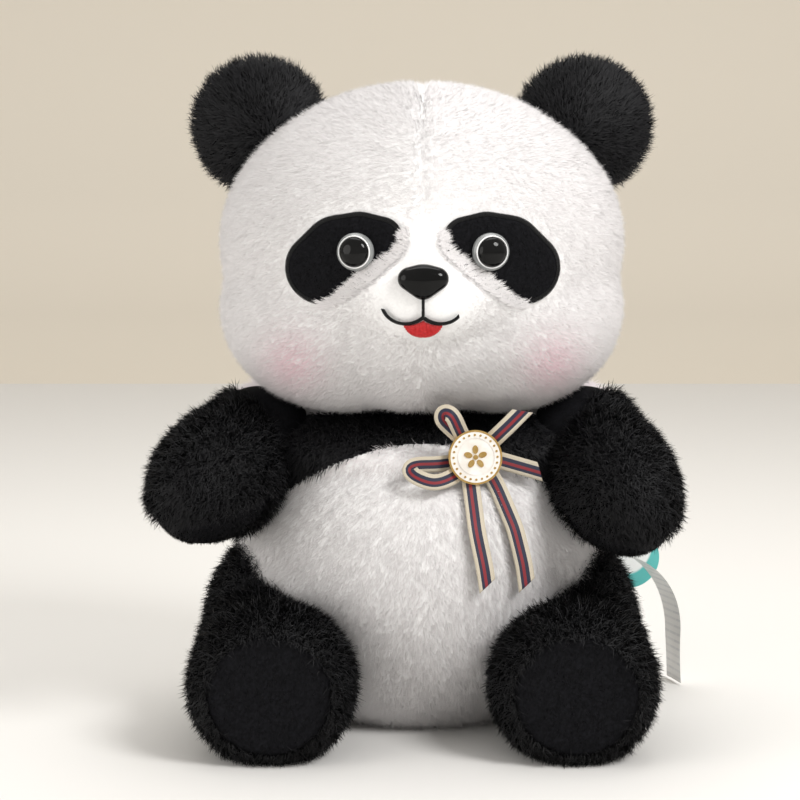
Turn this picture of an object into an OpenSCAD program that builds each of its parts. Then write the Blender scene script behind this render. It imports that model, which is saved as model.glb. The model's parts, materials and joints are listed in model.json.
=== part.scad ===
// Sitting plush panda. The shell is sewn from pile fabric panels over separate stuffing,
// and the face has plastic eyes and a plastic nose that lock with washers inside the head.
// The origin is the middle of the seat, on the surface that the toy sits on.
// The face looks along -Y, +Z is up, and left is the panda's own left, which is +X.

/* [Head] */
// Half width of the head
head_rx = 83; // [69:1:100]
// Half height and half depth of the head
head_r = 65; // [54:1:78]
// Half width of the muzzle
muzzle_rx = 36; // [28:1:44]
// Half height of the muzzle
muzzle_rz = 26; // [20:1:32]
// How far the muzzle stands proud of the face
muzzle_out = 5; // [2:0.5:9]
// How far the middle of the muzzle lies below the middle of the head
muzzle_drop = 17; // [12:1:22]

/* [Eyes] */
// Distance from the centre seam to an eye
eye_dx = 26; // [20:0.5:32]
// Height of the eyes over the middle of the head
eye_dz = -0.5; // [-5:0.5:8]
// Radius of the black eye dome
eye_dome_r = 5.2; // [4:0.1:6.5]
// Width of the pale ring around the dome
eye_rim = 2.2; // [1.5:0.1:3]
// Height of the dome over its ring
eye_rise = 2.6; // [1.5:0.1:4]
// Radius of the shank behind an eye or the nose
shank_r = 1.9; // [1.5:0.1:2.6]
// Length of the shank inside the head
shank_len = 15; // [12:1:20]
// Radius of a lock washer
washer_r = 7; // [5:0.5:9]
// Thickness of a lock washer
washer_t = 1.6; // [1:0.1:2.5]

/* [Nose and mouth] */
// Height of the nose against the middle of the head
nose_dz = -12; // [-16:0.5:-8]
// Half width of the nose
nose_rx = 9.5; // [7:0.25:12]
// Height of the nose
nose_h = 13.2; // [10:0.2:16]
// Drop from the middle of the head to the middle of the smile
smile_dz = -26.3; // [-30:0.1:-22]
// Radius of each half of the smile
smile_r = 11; // [9:0.5:13]
// Distance from the centre seam to the middle of each half of the smile
smile_dx = 7.2; // [6:0.1:8]
// Width of the embroidered line
thread_w = 1.3; // [0.8:0.1:2]
// Half width of the tongue
tongue_r = 7.6; // [6:0.1:9]

/* [Ears] */
// Place of an ear around the head, from the top
ear_turn = 49; // [40:1:60]
// Distance from the head to the middle of an ear
ear_standoff = 7; // [4:0.5:12]
// Radius of an ear
ear_r = 25; // [20:1:30]
// Half thickness of an ear
ear_half_t = 9; // [6:0.5:11]
// Distance from the middle of the head back to the ear seam
ear_back = 8; // [0:1:15]
// How far an ear folds each way
ear_flex = 20; // [10:1:25]

/* [Body] */
// Half width of the belly
belly_rx = 78; // [66:1:92]
// Half depth of the belly
belly_ry = 74; // [62:1:88]
// Half height of the belly
belly_rz = 76; // [70:1:84]
// Height of the middle of the belly over the seat
belly_z = 62; // [56:1:68]
// Half width of the chest
chest_rx = 88; // [74:1:104]
// Half depth of the chest
chest_ry = 60; // [52:1:70]
// Half height of the chest
chest_rz = 58; // [52:1:66]
// Height of the middle of the chest over the seat
chest_z = 122; // [114:1:130]
// Distance from the middle of the seat back to the middle of the chest
chest_y = 4; // [0:1:10]
// Height of the lower edge of the chest band at the middle
band_z = 123; // [114:1:128]
// Radius of the lower edge of the chest band
band_r = 86; // [80:1:110]
// Depth of the side seam at the shoulder, behind the middle of the seat
side_seam_y = -14; // [-20:1:0]
// Lean of the side seam
side_seam_lean = 22; // [10:1:30]
// Thickness of the pile fabric's backing
skin_t = 1.6; // [1:0.1:2.5]

/* [Neck] */
// Height of the middle of the neck
neck_z = 135; // [128:1:142]
// Forward lean of the neck
neck_lean = 15; // [8:1:20]
// Radius of the neck filling
neck_r = 38; // [28:1:46]
// Thickness of the neck filling at its middle
neck_pad = 3; // [2:0.5:6]

/* [Arms] */
// Radius of the round top of an arm
shoulder_r = 27; // [22:0.5:30]
// Distance from the side of the chest in to the middle of a shoulder
shoulder_in = 20; // [14:1:26]
// Height of a shoulder
shoulder_z = 120; // [112:1:126]
// Depth of a shoulder, in front of the middle of the seat
shoulder_y = -14; // [-22:1:-6]
// Half length of the plump part of an arm
arm_half = 50; // [40:1:58]
// Radius of the plump part of an arm
arm_r = 27; // [22:0.5:30]
// Distance from the shoulder to the middle of the plump part
arm_mid = 26; // [20:1:32]
// Outward turn of the left and right arm
arm_yaw = [14, 22]; // [0:1:40]
// Droop of the left and right arm
arm_droop = [20, 14]; // [0:1:25]
// Drop from the middle of the arm to the seam of the palm panel
palm_drop = 13; // [8:1:20]

/* [Legs] */
// Radius of the round top of a leg
hip_r = 33; // [28:0.5:34]
// Distance from the side of the belly in to the middle of a hip
hip_in = 13; // [8:1:20]
// Height of the middle of a hip
hip_z = 34; // [33:0.5:40]
// Depth of a hip, in front of the middle of the seat
hip_y = -10; // [-20:1:0]
// Distance from the hip forward to the middle of the foot
foot_reach = 70; // [60:1:84]
// How much closer the feet are to the middle than the hips
foot_in = 5; // [0:1:12]
// Half width of a foot
foot_rx = 31; // [26:0.5:34]
// Half depth of a foot
foot_ry = 36; // [30:1:42]
// Half height of a foot
foot_rz = 29; // [26:0.5:34]
// Distance from the middle of the foot forward to the sole
sole_out = 24; // [18:1:28]
// Thickness of the sole panel
sole_t = 2; // [1.2:0.2:3]

/* [Tail] */
// Radius of the tail
tail_r = 15; // [10:1:20]
// Height of the middle of the tail
tail_z = 34; // [24:1:44]

/* [Ribbon and badge] */
// Place of the badge across the chest
badge_x = 21; // [10:1:30]
// Height of the badge
badge_z = 116; // [108:1:122]
// Radius of the badge
badge_r = 11; // [9:0.5:14]
// Thickness of the badge plate
badge_t = 2; // [1.4:0.1:3]
// Width of the ribbon
ribbon_w = 7; // [5:0.5:9]
// Thickness of the ribbon
ribbon_t = 0.4; // [0.3:0.05:0.8]
// Length of the longer ribbon tail
tail_len = 48; // [36:1:56]

/* [Tags] */
// Width of the care label
label_w = 16; // [12:1:18]
// Radius of the care label's bend
label_r = 38; // [30:1:44]
// Width of the swing card
card_w = 30; // [20:1:34]
// Height of the swing card
card_h = 44; // [30:1:46]
// Thickness of the swing card
card_t = 0.8; // [0.4:0.1:1.5]

/* [Hidden] */
$fn = 96;
left = 1;
right = -1;
// running gap between pieces that move against each other
joint_gap = 0.4;
// gap between a loose piece and the cloth under it
rest_gap = 0.1;
// larger than the whole toy
big = 400;

// neck frame, and the middle of the head on it
neck_y = -0.5;
neck_up = [0, -sin(neck_lean), cos(neck_lean)];
head_c = [0, neck_y, neck_z] + (head_r + neck_pad) * neck_up;
head_rr = [head_rx, head_r, head_r];
muzzle_ry = 32;
muzzle_z = head_c.z - muzzle_drop;
muzzle_c = [0, head_c.y - head_r * sqrt(1 - pow(muzzle_drop / head_r, 2)) - muzzle_out + muzzle_ry, muzzle_z];
muzzle_rr = [muzzle_rx, muzzle_ry, muzzle_rz];

// depth of the front of an ellipsoid at a place across and a height
function front_y(c, r, x, z) =
    c.y - r.y * sqrt(max(0, 1 - pow((x - c.x) / r.x, 2) - pow((z - c.z) / r.z, 2)));
function face_y(x, z) = min(front_y(head_c, head_rr, x, z), front_y(muzzle_c, muzzle_rr, x, z));

// body
belly_c = [0, 0, belly_z];
belly_rr = [belly_rx, belly_ry, belly_rz];
chest_c = [0, chest_y, chest_z];
chest_rr = [chest_rx, chest_ry, chest_rz];
function chest_front_y(x, z) = min(front_y(belly_c, belly_rr, x, z), front_y(chest_c, chest_rr, x, z));
function belly_back_y(x, z) = -front_y(belly_c, belly_rr, x, z);
function belly_side_x(y, z) =
    belly_rx * sqrt(max(0, 1 - pow(y / belly_ry, 2) - pow((z - belly_z) / belly_rz, 2)));

// arms and legs
function shoulder(side) = [side * (chest_rx - shoulder_in), shoulder_y, shoulder_z];
function hip(side) = [side * (belly_rx - hip_in), hip_y, hip_z];
function pick(pair, side) = side == left ? pair[0] : pair[1];
function foot(side) = [side * (belly_rx - hip_in - foot_in), hip_y - foot_reach, foot_rz - 1];
thigh_rx = foot_rx;
thigh_rz = hip_z - 3;
thigh_ry = 44;

// ears
ear_nx = sin(ear_turn) / head_rx;
ear_nz = cos(ear_turn) / head_r;
ear_tilt = atan2(ear_nx, ear_nz);
function ear_pivot(side) = head_c + [side * head_rx * sin(ear_turn), ear_back, head_r * cos(ear_turn)];
function ear_c(side) = ear_pivot(side) + ear_standoff * [side * sin(ear_tilt), 0, cos(ear_tilt)];
function ear_axis(side) = [cos(ear_tilt), 0, -side * sin(ear_tilt)];

// face
eye_z = head_c.z + eye_dz;
eye_y = front_y(head_c, head_rr, eye_dx, eye_z);
eye_yaw = atan2(eye_dx / pow(head_rx, 2), (head_c.y - eye_y) / pow(head_r, 2));
eye_ring_r = eye_dome_r + eye_rim;
patch_t = 1.2;
// lobes of the eye patch: how far out and up from the eye, and the radius
patch_lobes = [[13, -6, 15.5], [1.7, 2.5, 13], [-9.2, 5, 9.7]];
eye_seat = patch_t + 0.05;
eye_ring_t = 1.6;
nose_z = head_c.z + nose_dz;
nose_y = face_y(0, nose_z);
nose_lean = atan2((nose_z - muzzle_z) / pow(muzzle_rz, 2), (muzzle_c.y - nose_y) / pow(muzzle_ry, 2));
smile_z = head_c.z + smile_dz + smile_r * cos(asin(smile_dx / smile_r));
thread_t = 0.9;

// ribbon layers stand on the pile of the belly
ribbon_z = 2.2;
loop_layer = ribbon_z;
end_layer = ribbon_z + ribbon_t;
tail_layer = ribbon_z + 2 * ribbon_t;
badge_back = ribbon_z + 3 * ribbon_t;

// ---- helpers ----
module ellipsoid(c, r, grow = 0) {
    translate(c) scale([r.x + grow, r.y + grow, r.z + grow]) sphere(1);
}
// the same with its poles along Y, for limbs that reach forward and for a head with holes in its face
module ellipsoid_y(c, r, grow = 0) {
    translate(c) scale([r.x + grow, r.y + grow, r.z + grow]) rotate([90, 0, 0]) sphere(1);
}
module at_neck() {
    translate([0, neck_y, neck_z]) rotate([neck_lean, 0, 0]) children();
}
// everything in front of the side seam, or behind it
module front_half() {
    translate([0, side_seam_y, shoulder_z]) rotate([side_seam_lean, 0, 0])
        translate([-big, -2 * big, -big]) cube(2 * big);
}
module left_half() {
    translate([0, -big, -big]) cube(2 * big);
}
// every matching pair is drawn on the left and mirrored for the right
module on_side(side) {
    if (side == left) children(); else mirror([1, 0, 0]) children();
}
module along_y() {
    rotate([90, 0, 0]) linear_extrude(2 * big, center = true) children();
}

// ---- head ----
module head_form(grow = 0) {
    ellipsoid(head_c, head_rr, grow);
    ellipsoid(muzzle_c, muzzle_rr, grow);
}
module head_front_half() {
    translate([-big, head_c.y + ear_back - 2 * big, -big]) cube(2 * big);
}
module at_eye(side) {
    translate([side * eye_dx, eye_y, eye_z])
        rotate([0, 0, side * eye_yaw]) rotate([90, 0, 0]) children();
}
module at_nose() {
    translate([0, nose_y, nose_z]) rotate([90 - nose_lean, 0, 0]) children();
}
module shank_holes() {
    for (side = [left, right])
        at_eye(side) translate([0, 0, -shank_len - rest_gap]) cylinder(r = shank_r + rest_gap, h = 2 * shank_len);
    at_nose() translate([0, 0, -shank_len - rest_gap]) cylinder(r = shank_r + rest_gap, h = 2 * shank_len);
}
washer_depth = 7;
// the room that a shank and its washer take inside the stuffing
module lock_space() {
    deep = shank_len + rest_gap;
    narrow = shank_r + rest_gap;
    wide = washer_r + rest_gap;
    top = rest_gap - washer_depth;
    bottom = -washer_depth - washer_t - rest_gap;
    rotate_extrude() polygon([[0, -deep], [narrow, -deep], [narrow, bottom], [wide, bottom],
        [wide, top], [narrow, top], [narrow, shank_len], [0, shank_len]]);
}
module washer() {
    translate([0, 0, -washer_depth - washer_t]) difference() {
        cylinder(r = washer_r, h = washer_t);
        translate([0, 0, -1]) cylinder(r = shank_r + rest_gap / 2, h = washer_t + 2);
    }
}
module head_shell() {
    difference() {
        head_form();
        head_form(-skin_t);
    }
}
module face_panel(side) {
    color("white") on_side(side) difference() {
        intersection() {
            head_shell();
            left_half();
            head_front_half();
        }
        shank_holes();
    }
}
module head_back_panel(side) {
    color("white") on_side(side) difference() {
        intersection() {
            head_shell();
            left_half();
        }
        head_front_half();
    }
}
module head_stuffing() {
    color("ivory") difference() {
        union() {
            ellipsoid_y(head_c, head_rr, -skin_t);
            ellipsoid_y(muzzle_c, muzzle_rr, -skin_t);
        }
        for (side = [left, right]) at_eye(side) lock_space();
        at_nose() lock_space();
    }
}
// the patch is a rounded drop that leans down and outward from the bridge of the nose
module patch_outline() {
    translate([eye_dx, eye_z]) hull()
        for (lobe = patch_lobes) translate([lobe.x, lobe.y]) circle(lobe.z, $fn = 48);
}
module eye_patch(side) {
    color([0.06, 0.06, 0.06]) on_side(side) difference() {
        intersection() {
            ellipsoid(head_c, head_rr, patch_t);
            along_y() patch_outline();
            head_front_half();
        }
        head_form();
        shank_holes();
    }
}
module eye_ring(side) {
    color([0.75, 0.76, 0.76]) on_side(side) at_eye(left) difference() {
        translate([0, 0, eye_seat]) cylinder(r = eye_ring_r, h = eye_ring_t);
        cylinder(r = eye_dome_r + 0.05, h = 2 * eye_ring_r);
    }
}
module eye(side) {
    curve_r = (pow(eye_dome_r, 2) + pow(eye_rise, 2)) / (2 * eye_rise);
    wall_top = eye_seat + eye_ring_t + 0.2;
    color([0.02, 0.02, 0.02]) on_side(side) at_eye(left) {
        translate([0, 0, eye_seat]) cylinder(r = eye_dome_r, h = wall_top - eye_seat);
        intersection() {
            translate([0, 0, wall_top + eye_rise - curve_r]) sphere(curve_r);
            translate([0, 0, wall_top - 0.1]) cylinder(r = eye_dome_r, h = eye_rise + 1);
        }
        translate([0, 0, -shank_len]) cylinder(r = shank_r, h = shank_len + eye_seat + 0.5);
    }
}
module eye_washer(side) { color([0.9, 0.9, 0.9]) at_eye(side) washer(); }
module nose() {
    ball = 4.6;
    chin = 3.6;
    color([0.02, 0.02, 0.02]) at_nose() {
        intersection() {
            hull() {
                for (side = [left, right])
                    translate([side * (nose_rx - ball), nose_h / 2 - ball, 1.4]) sphere(ball, $fn = 32);
                translate([0, chin - nose_h / 2, 1.2]) sphere(chin, $fn = 32);
            }
            translate([-big, -big, rest_gap]) cube(2 * big);
        }
        translate([0, 0, -shank_len]) cylinder(r = shank_r, h = shank_len + 1);
    }
}
module nose_washer() { color([0.9, 0.9, 0.9]) at_nose() washer(); }
// the smile is two arcs that meet at the centre seam, and a line up to the nose
module smile_outline() {
    intersection() {
        union() for (side = [left, right])
            difference() {
                translate([side * smile_dx, smile_z]) circle(smile_r + thread_w / 2);
                translate([side * smile_dx, smile_z]) circle(smile_r - thread_w / 2);
                translate([side > 0 ? -2 * smile_r : 0, smile_z - 2 * smile_r]) square([2 * smile_r, 4 * smile_r]);
            }
        translate([-15.5, smile_z - 2 * smile_r]) square([31, 2 * smile_r - 6]);
    }
    translate([-thread_w / 2, head_c.z + smile_dz - 0.4]) square([thread_w, nose_z - nose_h / 2 - head_c.z - smile_dz + 0.3]);
}
module mouth_thread() {
    color([0.05, 0.05, 0.05]) intersection() {
        difference() {
            head_form(thread_t);
            head_form();
        }
        along_y() smile_outline();
        head_front_half();
    }
}
module tongue() {
    color([0.85, 0.1, 0.12]) intersection() {
        difference() {
            head_form(thread_t);
            head_form();
        }
        along_y() difference() {
            translate([0, head_c.z + smile_dz - 1.3]) circle(tongue_r);
            for (side = [left, right])
                translate([side * smile_dx, smile_z]) circle(smile_r + thread_w / 2 + 0.02);
            translate([-tongue_r, head_c.z + smile_dz - 1.3]) square([2 * tongue_r, tongue_r]);
        }
        head_front_half();
    }
}

// ---- ears ----
// the root of an ear is a wedge along its fold line, so that it clears the head over the whole fold
module below_ear_root() {
    translate(ear_pivot(left)) rotate([0, ear_tilt, 0]) for (fold = [-ear_flex, ear_flex])
        rotate([fold, 0, 0]) translate([-big, -big, joint_gap - 2 * big]) cube(2 * big);
}
module ear_form(grow = 0) {
    ellipsoid(ear_c(left), [ear_r, ear_half_t, ear_r], grow);
}
module ear_panel(front) {
    difference() {
        ear_form();
        ear_form(-skin_t);
        translate([-big, front ? ear_c(left).y : ear_c(left).y - 2 * big, -big]) cube(2 * big);
        below_ear_root();
    }
}
module ear_front(side) { color([0.05, 0.05, 0.05]) on_side(side) ear_panel(true); }
module ear_back(side) { color([0.05, 0.05, 0.05]) on_side(side) ear_panel(false); }
module ear_filling(side) {
    color("ivory") on_side(side) difference() {
        ear_form(-skin_t - rest_gap / 2);
        below_ear_root();
    }
}

// ---- neck ----
module neck_filling() {
    color("ivory") at_neck() difference() {
        translate([0, 0, joint_gap]) cylinder(r = neck_r, h = neck_pad + 8);
        ellipsoid([0, 0, head_r + neck_pad], [head_rx, head_rx, head_r], joint_gap);
    }
}

// ---- torso ----
// bottom is the height of the flat under the form
module torso_form(grow, bottom) {
    intersection() {
        union() {
            ellipsoid(belly_c, belly_rr, grow);
            ellipsoid(chest_c, chest_rr, grow);
        }
        translate([-big, -big, bottom]) cube([2 * big, 2 * big, big]);
        at_neck() translate([-big, -big, grow - 2 * big]) cube(2 * big);
    }
}
module torso_body(grow, bottom) {
    difference() {
        torso_form(grow, bottom);
        for (side = [left, right]) {
            translate(shoulder(side)) sphere(shoulder_r + joint_gap - grow);
            translate(hip(side)) sphere(hip_r + joint_gap - grow);
        }
    }
}
module torso_skin() {
    difference() {
        torso_body(0, skin_t);
        torso_body(-skin_t, 0);
    }
}
module band_window() {
    along_y() translate([0, band_z - band_r]) circle(band_r);
}
module chest_band() {
    color([0.05, 0.05, 0.05]) difference() {
        intersection() { torso_skin(); front_half(); }
        band_window();
    }
}
module belly_panel() {
    color("white") for (side = [left, right]) on_side(side) intersection() {
        torso_skin();
        front_half();
        band_window();
        left_half();
    }
}
module back_panel(side) {
    color("white") on_side(side) intersection() {
        difference() { torso_skin(); front_half(); }
        left_half();
    }
}
module seat_panel() {
    color("white") intersection() {
        ellipsoid(belly_c, belly_rr);
        translate([-big, -big, 0]) cube([2 * big, 2 * big, skin_t]);
    }
}
module torso_stuffing() { color("ivory") torso_body(-skin_t, skin_t); }
// a ladder of short stitches closes the centre back seam
module closing_thread() {
    stitch = [4, 1];
    pitch = 5;
    count = 8;
    start_z = belly_z + 4;
    color([0.9, 0.9, 0.88]) intersection() {
        difference() {
            ellipsoid(belly_c, belly_rr, 0.6);
            ellipsoid(belly_c, belly_rr);
        }
        translate([0, big, 0]) rotate([90, 0, 0]) linear_extrude(big)
            for (i = [0 : count - 1])
                translate([-stitch.x / 2, start_z + i * pitch]) square(stitch);
    }
}
// the tail is sewn flat against the back
tail_y = belly_back_y(0, tail_z);
tail_lean = atan2((tail_z - belly_z) / pow(belly_rz, 2), tail_y / pow(belly_ry, 2));
module at_tail() {
    translate([0, tail_y, tail_z]) rotate([tail_lean - 90, 0, 0]) children();
}
module tail_ball(grow = 0) {
    translate([0, 0, tail_r * 0.35]) sphere(tail_r + grow);
}
module tail_form(grow = 0) {
    at_tail() intersection() {
        tail_ball(grow);
        translate([-big, -big, rest_gap]) cube(2 * big);
    }
}
module tail_skin() {
    color("white") difference() {
        tail_form();
        at_tail() tail_ball(-skin_t);
    }
}
module tail_filling() { color("ivory") tail_form(-skin_t); }

// ---- arms ----
// a round relief about the swing axis keeps the arm clear of the torso at every height
arm_relief = [max(chest_rx, belly_rx + 10) - 8 + joint_gap, 82, 82];
module at_arm(side) {
    translate(shoulder(side)) rotate([pick(arm_droop, side), 0, side * pick(arm_yaw, side)]) children();
}
module arm_form(side, grow = 0) {
    at_arm(side) rotate([90, 0, 0]) sphere(shoulder_r + grow);
    difference() {
        at_arm(side) ellipsoid_y([0, -arm_mid, 0], [arm_r, arm_half, arm_r], grow);
        ellipsoid([0, shoulder_y, shoulder_z], arm_relief, -grow);
    }
}
module palm_space(side) {
    at_arm(side) translate([-big, -2 * big - arm_mid * 1.3, -2 * big - palm_drop]) cube(2 * big);
}
module arm_sleeve(side) {
    color([0.05, 0.05, 0.05]) difference() {
        arm_form(side);
        arm_form(side, -skin_t);
        palm_space(side);
    }
}
module arm_palm(side) {
    color([0.08, 0.08, 0.08]) intersection() {
        difference() { arm_form(side); arm_form(side, -skin_t); }
        palm_space(side);
    }
}
module arm_stuffing(side) { color("ivory") arm_form(side, -skin_t); }

// ---- legs ----
thigh_mid = (hip(left) + foot(left)) / 2;
module leg_form(grow = 0) {
    intersection() {
        union() {
            translate(hip(left)) rotate([90, 0, 0]) sphere(hip_r + grow);
            difference() {
                union() {
                    ellipsoid_y([thigh_mid.x, thigh_mid.y, thigh_rz], [thigh_rx, thigh_ry, thigh_rz - 1], grow);
                    ellipsoid_y(foot(left), [foot_rx, foot_ry, foot_rz], grow);
                }
                ellipsoid(belly_c, belly_rr, joint_gap - grow);
            }
        }
        translate([-big, foot(left).y - sole_out - grow, -grow]) cube([2 * big, big, big]);
    }
}
module sole_slab() {
    translate([-big, foot(left).y - sole_out, 0]) cube([2 * big, sole_t, big]);
}
module leg_sleeve(side) {
    color([0.05, 0.05, 0.05]) on_side(side) difference() { leg_form(); leg_form(-skin_t); sole_slab(); }
}
module leg_sole(side) {
    color([0.08, 0.08, 0.08]) on_side(side) intersection() { leg_form(); sole_slab(); }
}
module leg_stuffing(side) {
    color("ivory") on_side(side) difference() { leg_form(-skin_t); sole_slab(); }
}

// ---- ribbon and badge ----
// a flat outline laid over the chest at a height above the cloth
module laid_on_chest(layer, t) {
    intersection() {
        difference() {
            union() { ellipsoid(belly_c, belly_rr, layer + t); ellipsoid(chest_c, chest_rr, layer + t); }
            ellipsoid(belly_c, belly_rr, layer);
            ellipsoid(chest_c, chest_rr, layer);
        }
        translate([badge_x, 0, badge_z]) rotate([90, 0, 0]) linear_extrude(big) children();
    }
}
module strip(angle, from, to) {
    rotate(angle) translate([from, -ribbon_w / 2]) square([to - from, ribbon_w]);
}
module loop_outline(angle, long) {
    rotate(angle) {
        translate([0, -ribbon_w / 2]) square([long, ribbon_w]);
        translate([long, 0]) circle(ribbon_w / 2);
    }
}
module ribbon_loops() {
    color([0.85, 0.8, 0.72]) laid_on_chest(loop_layer, ribbon_t) {
        loop_outline(138, 16);
        loop_outline(187, 24);
    }
}
module ribbon_ends() {
    color([0.85, 0.8, 0.72]) laid_on_chest(end_layer, ribbon_t) {
        strip(42, 0, 27);
        strip(-14, 0, 28);
    }
}
module cut_strip(angle, long) {
    rotate(angle) translate([0, -ribbon_w / 2])
        polygon([[0, 0], [long - ribbon_w * 0.6, 0], [long, ribbon_w], [0, ribbon_w]]);
}
module ribbon_tail(side) {
    color([0.85, 0.8, 0.72]) laid_on_chest(tail_layer, ribbon_t)
        if (side == left) translate([3.6, 0]) cut_strip(-73, tail_len); else translate([-3.8, 0]) cut_strip(-86, tail_len);
}
// the badge lies square to the ribbon under it, and its back clears the ribbon all the way round
function ribbon_front_y(dx, dz) = min(
    front_y(belly_c, belly_rr + badge_back * [1, 1, 1], badge_x + dx, badge_z + dz),
    front_y(chest_c, chest_rr + badge_back * [1, 1, 1], badge_x + dx, badge_z + dz));
badge_rise_x = (ribbon_front_y(badge_r, 0) - ribbon_front_y(-badge_r, 0)) / (2 * badge_r);
badge_rise_z = (ribbon_front_y(0, badge_r) - ribbon_front_y(0, -badge_r)) / (2 * badge_r);
function over_rise(dx, dz) = ribbon_front_y(dx, dz) - badge_rise_x * dx - badge_rise_z * dz;
badge_y = min([for (turn = [0 : 15 : 345], r = [0, badge_r]) over_rise(r * cos(turn), r * sin(turn))]);
module at_badge() {
    translate([badge_x, badge_y, badge_z])
        rotate([0, 0, atan(badge_rise_x)]) rotate([90 - atan(badge_rise_z), 0, 0]) children();
}
module badge_pad() {
    color([0.9, 0.9, 0.88]) difference() {
        intersection() {
            at_badge() translate([0, 0, -12]) cylinder(r = badge_r - 3, h = 20);
            union() { ellipsoid(belly_c, belly_rr, ribbon_z); ellipsoid(chest_c, chest_rr, ribbon_z); }
        }
        ellipsoid(belly_c, belly_rr);
        ellipsoid(chest_c, chest_rr);
    }
}
badge_gap = 0.2;
badge_front = badge_gap + badge_t;
badge_rim = 0.8;
recess = 0.7;
module badge_plate() {
    color([0.83, 0.66, 0.32]) at_badge() difference() {
        translate([0, 0, badge_gap]) cylinder(r = badge_r, h = badge_t);
        translate([0, 0, badge_front - recess]) cylinder(r = badge_r - badge_rim, h = badge_t);
    }
}
module badge_enamel() {
    groove_r = badge_r - 3.2;
    color([0.93, 0.91, 0.88]) at_badge() difference() {
        translate([0, 0, badge_front - recess]) cylinder(r = badge_r - badge_rim, h = recess - 0.1);
        translate([0, 0, badge_front - 0.4]) difference() {
            cylinder(r = groove_r, h = 1);
            translate([0, 0, -1]) cylinder(r = groove_r - 0.6, h = 3);
        }
    }
}
// a generic five-petal flower inside a ring of small beads
module badge_motif() {
    petals = 5;
    petal_r = 1.15;
    beads = 24;
    color([0.83, 0.66, 0.32]) at_badge() translate([0, 0, badge_front - 0.1]) {
        for (i = [0 : petals - 1])
            rotate(90 + i * 360 / petals) translate([2.7 * petal_r, 0]) scale([1.5, 1, 1]) cylinder(r = petal_r, h = 0.4);
        for (i = [0 : beads - 1])
            rotate(i * 360 / beads) translate([badge_r - 2, 0]) cylinder(r = 0.45, h = 0.35, $fn = 24);
        cylinder(r = 1, h = 0.5);
    }
}

// ---- tags ----
// the care label leaves the side seam, bends over and hangs down to the table
label_turn = 20;
label_y = 24;
label_foot = 1;
label_end_z = 24;
label_t = 0.4;
module care_label() {
    color("white") translate([belly_side_x(label_y, label_end_z + label_r) + 2, label_y, label_end_z])
        rotate([0, 0, label_turn]) rotate([90, 0, 0]) {
            rotate_extrude(angle = 90) translate([label_r, -label_w / 2]) square([label_t, label_w]);
            translate([label_r, label_foot - label_end_z, -label_w / 2])
                cube([label_t, label_end_z - label_foot, label_w]);
        }
}
card_y = 50;
card_hole_r = 1.6;
card_top = 84;
card_x = belly_rx + 1 + card_w / 2;
loop_r = 2.5;
loop_wire_r = 0.5;
wire_z = card_top - loop_wire_r - joint_gap;
// two strands run out from the seam and join through the hole of the card
module tag_loop() {
    color([0.85, 0.85, 0.85]) difference() {
        translate([card_x - loop_r, card_y, wire_z]) {
            for (side = [left, right])
                translate([0, side * loop_r, 0]) rotate([0, -90, 0]) cylinder(r = loop_wire_r, h = card_x - loop_r);
            rotate([0, 0, -90]) rotate_extrude(angle = 180) translate([loop_r, 0]) circle(loop_wire_r);
        }
        ellipsoid(belly_c, belly_rr, rest_gap);
    }
}
module swing_card() {
    lobe_r = card_w / 2;
    tab_r = 6;
    color([0.55, 0.8, 0.78]) translate([card_x, card_y + card_t / 2, card_top - card_hole_r])
        rotate([90, 0, 0]) linear_extrude(card_t) difference() {
            union() {
                translate([0, -lobe_r * 0.9]) circle(lobe_r);
                translate([0, lobe_r - card_h + 1]) circle(lobe_r - 1);
                circle(tab_r);
            }
            circle(card_hole_r);
        }
}

face_panel(left);  // face_panel_left
face_panel(right);  // face_panel_right
head_back_panel(left);  // head_back_panel_left
head_back_panel(right);  // head_back_panel_right
head_stuffing();
eye_patch(left);  // eye_patch_left
eye_patch(right);  // eye_patch_right
eye_ring(left);  // eye_ring_left
eye_ring(right);  // eye_ring_right
eye(left);  // eye_left
eye(right);  // eye_right
eye_washer(left);  // eye_washer_left
eye_washer(right);  // eye_washer_right
nose();
nose_washer();
mouth_thread();
tongue();
ear_front(left);  // ear_front_left
ear_front(right);  // ear_front_right
ear_back(left);  // ear_back_left
ear_back(right);  // ear_back_right
ear_filling(left);  // ear_filling_left
ear_filling(right);  // ear_filling_right
neck_filling();
chest_band();
belly_panel();
back_panel(left);  // back_panel_left
back_panel(right);  // back_panel_right
seat_panel();
torso_stuffing();
closing_thread();
tail_skin();
tail_filling();
arm_sleeve(left);  // arm_sleeve_left
arm_sleeve(right);  // arm_sleeve_right
arm_palm(left);  // arm_palm_left
arm_palm(right);  // arm_palm_right
arm_stuffing(left);  // arm_stuffing_left
arm_stuffing(right);  // arm_stuffing_right
leg_sleeve(left);  // leg_sleeve_left
leg_sleeve(right);  // leg_sleeve_right
leg_sole(left);  // leg_sole_left
leg_sole(right);  // leg_sole_right
leg_stuffing(left);  // leg_stuffing_left
leg_stuffing(right);  // leg_stuffing_right
ribbon_loops();
ribbon_ends();
ribbon_tail(left);  // ribbon_tail_left
ribbon_tail(right);  // ribbon_tail_right
badge_pad();
badge_plate();
badge_enamel();
badge_motif();
care_label();
tag_loop();
swing_card();
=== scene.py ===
# %% [markdown]
# # Plush panda
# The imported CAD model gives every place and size. This script replaces its plain cloth panels with soft
# skins that carry real strands of pile, then adds stitching, a ribbon, light and a camera.

# %% Load the frame
import json
import math
import bpy
import bmesh
import numpy as np
from mathutils.bvhtree import BVHTree
from mathutils import Matrix, Vector
from mathutils.kdtree import KDTree


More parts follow.
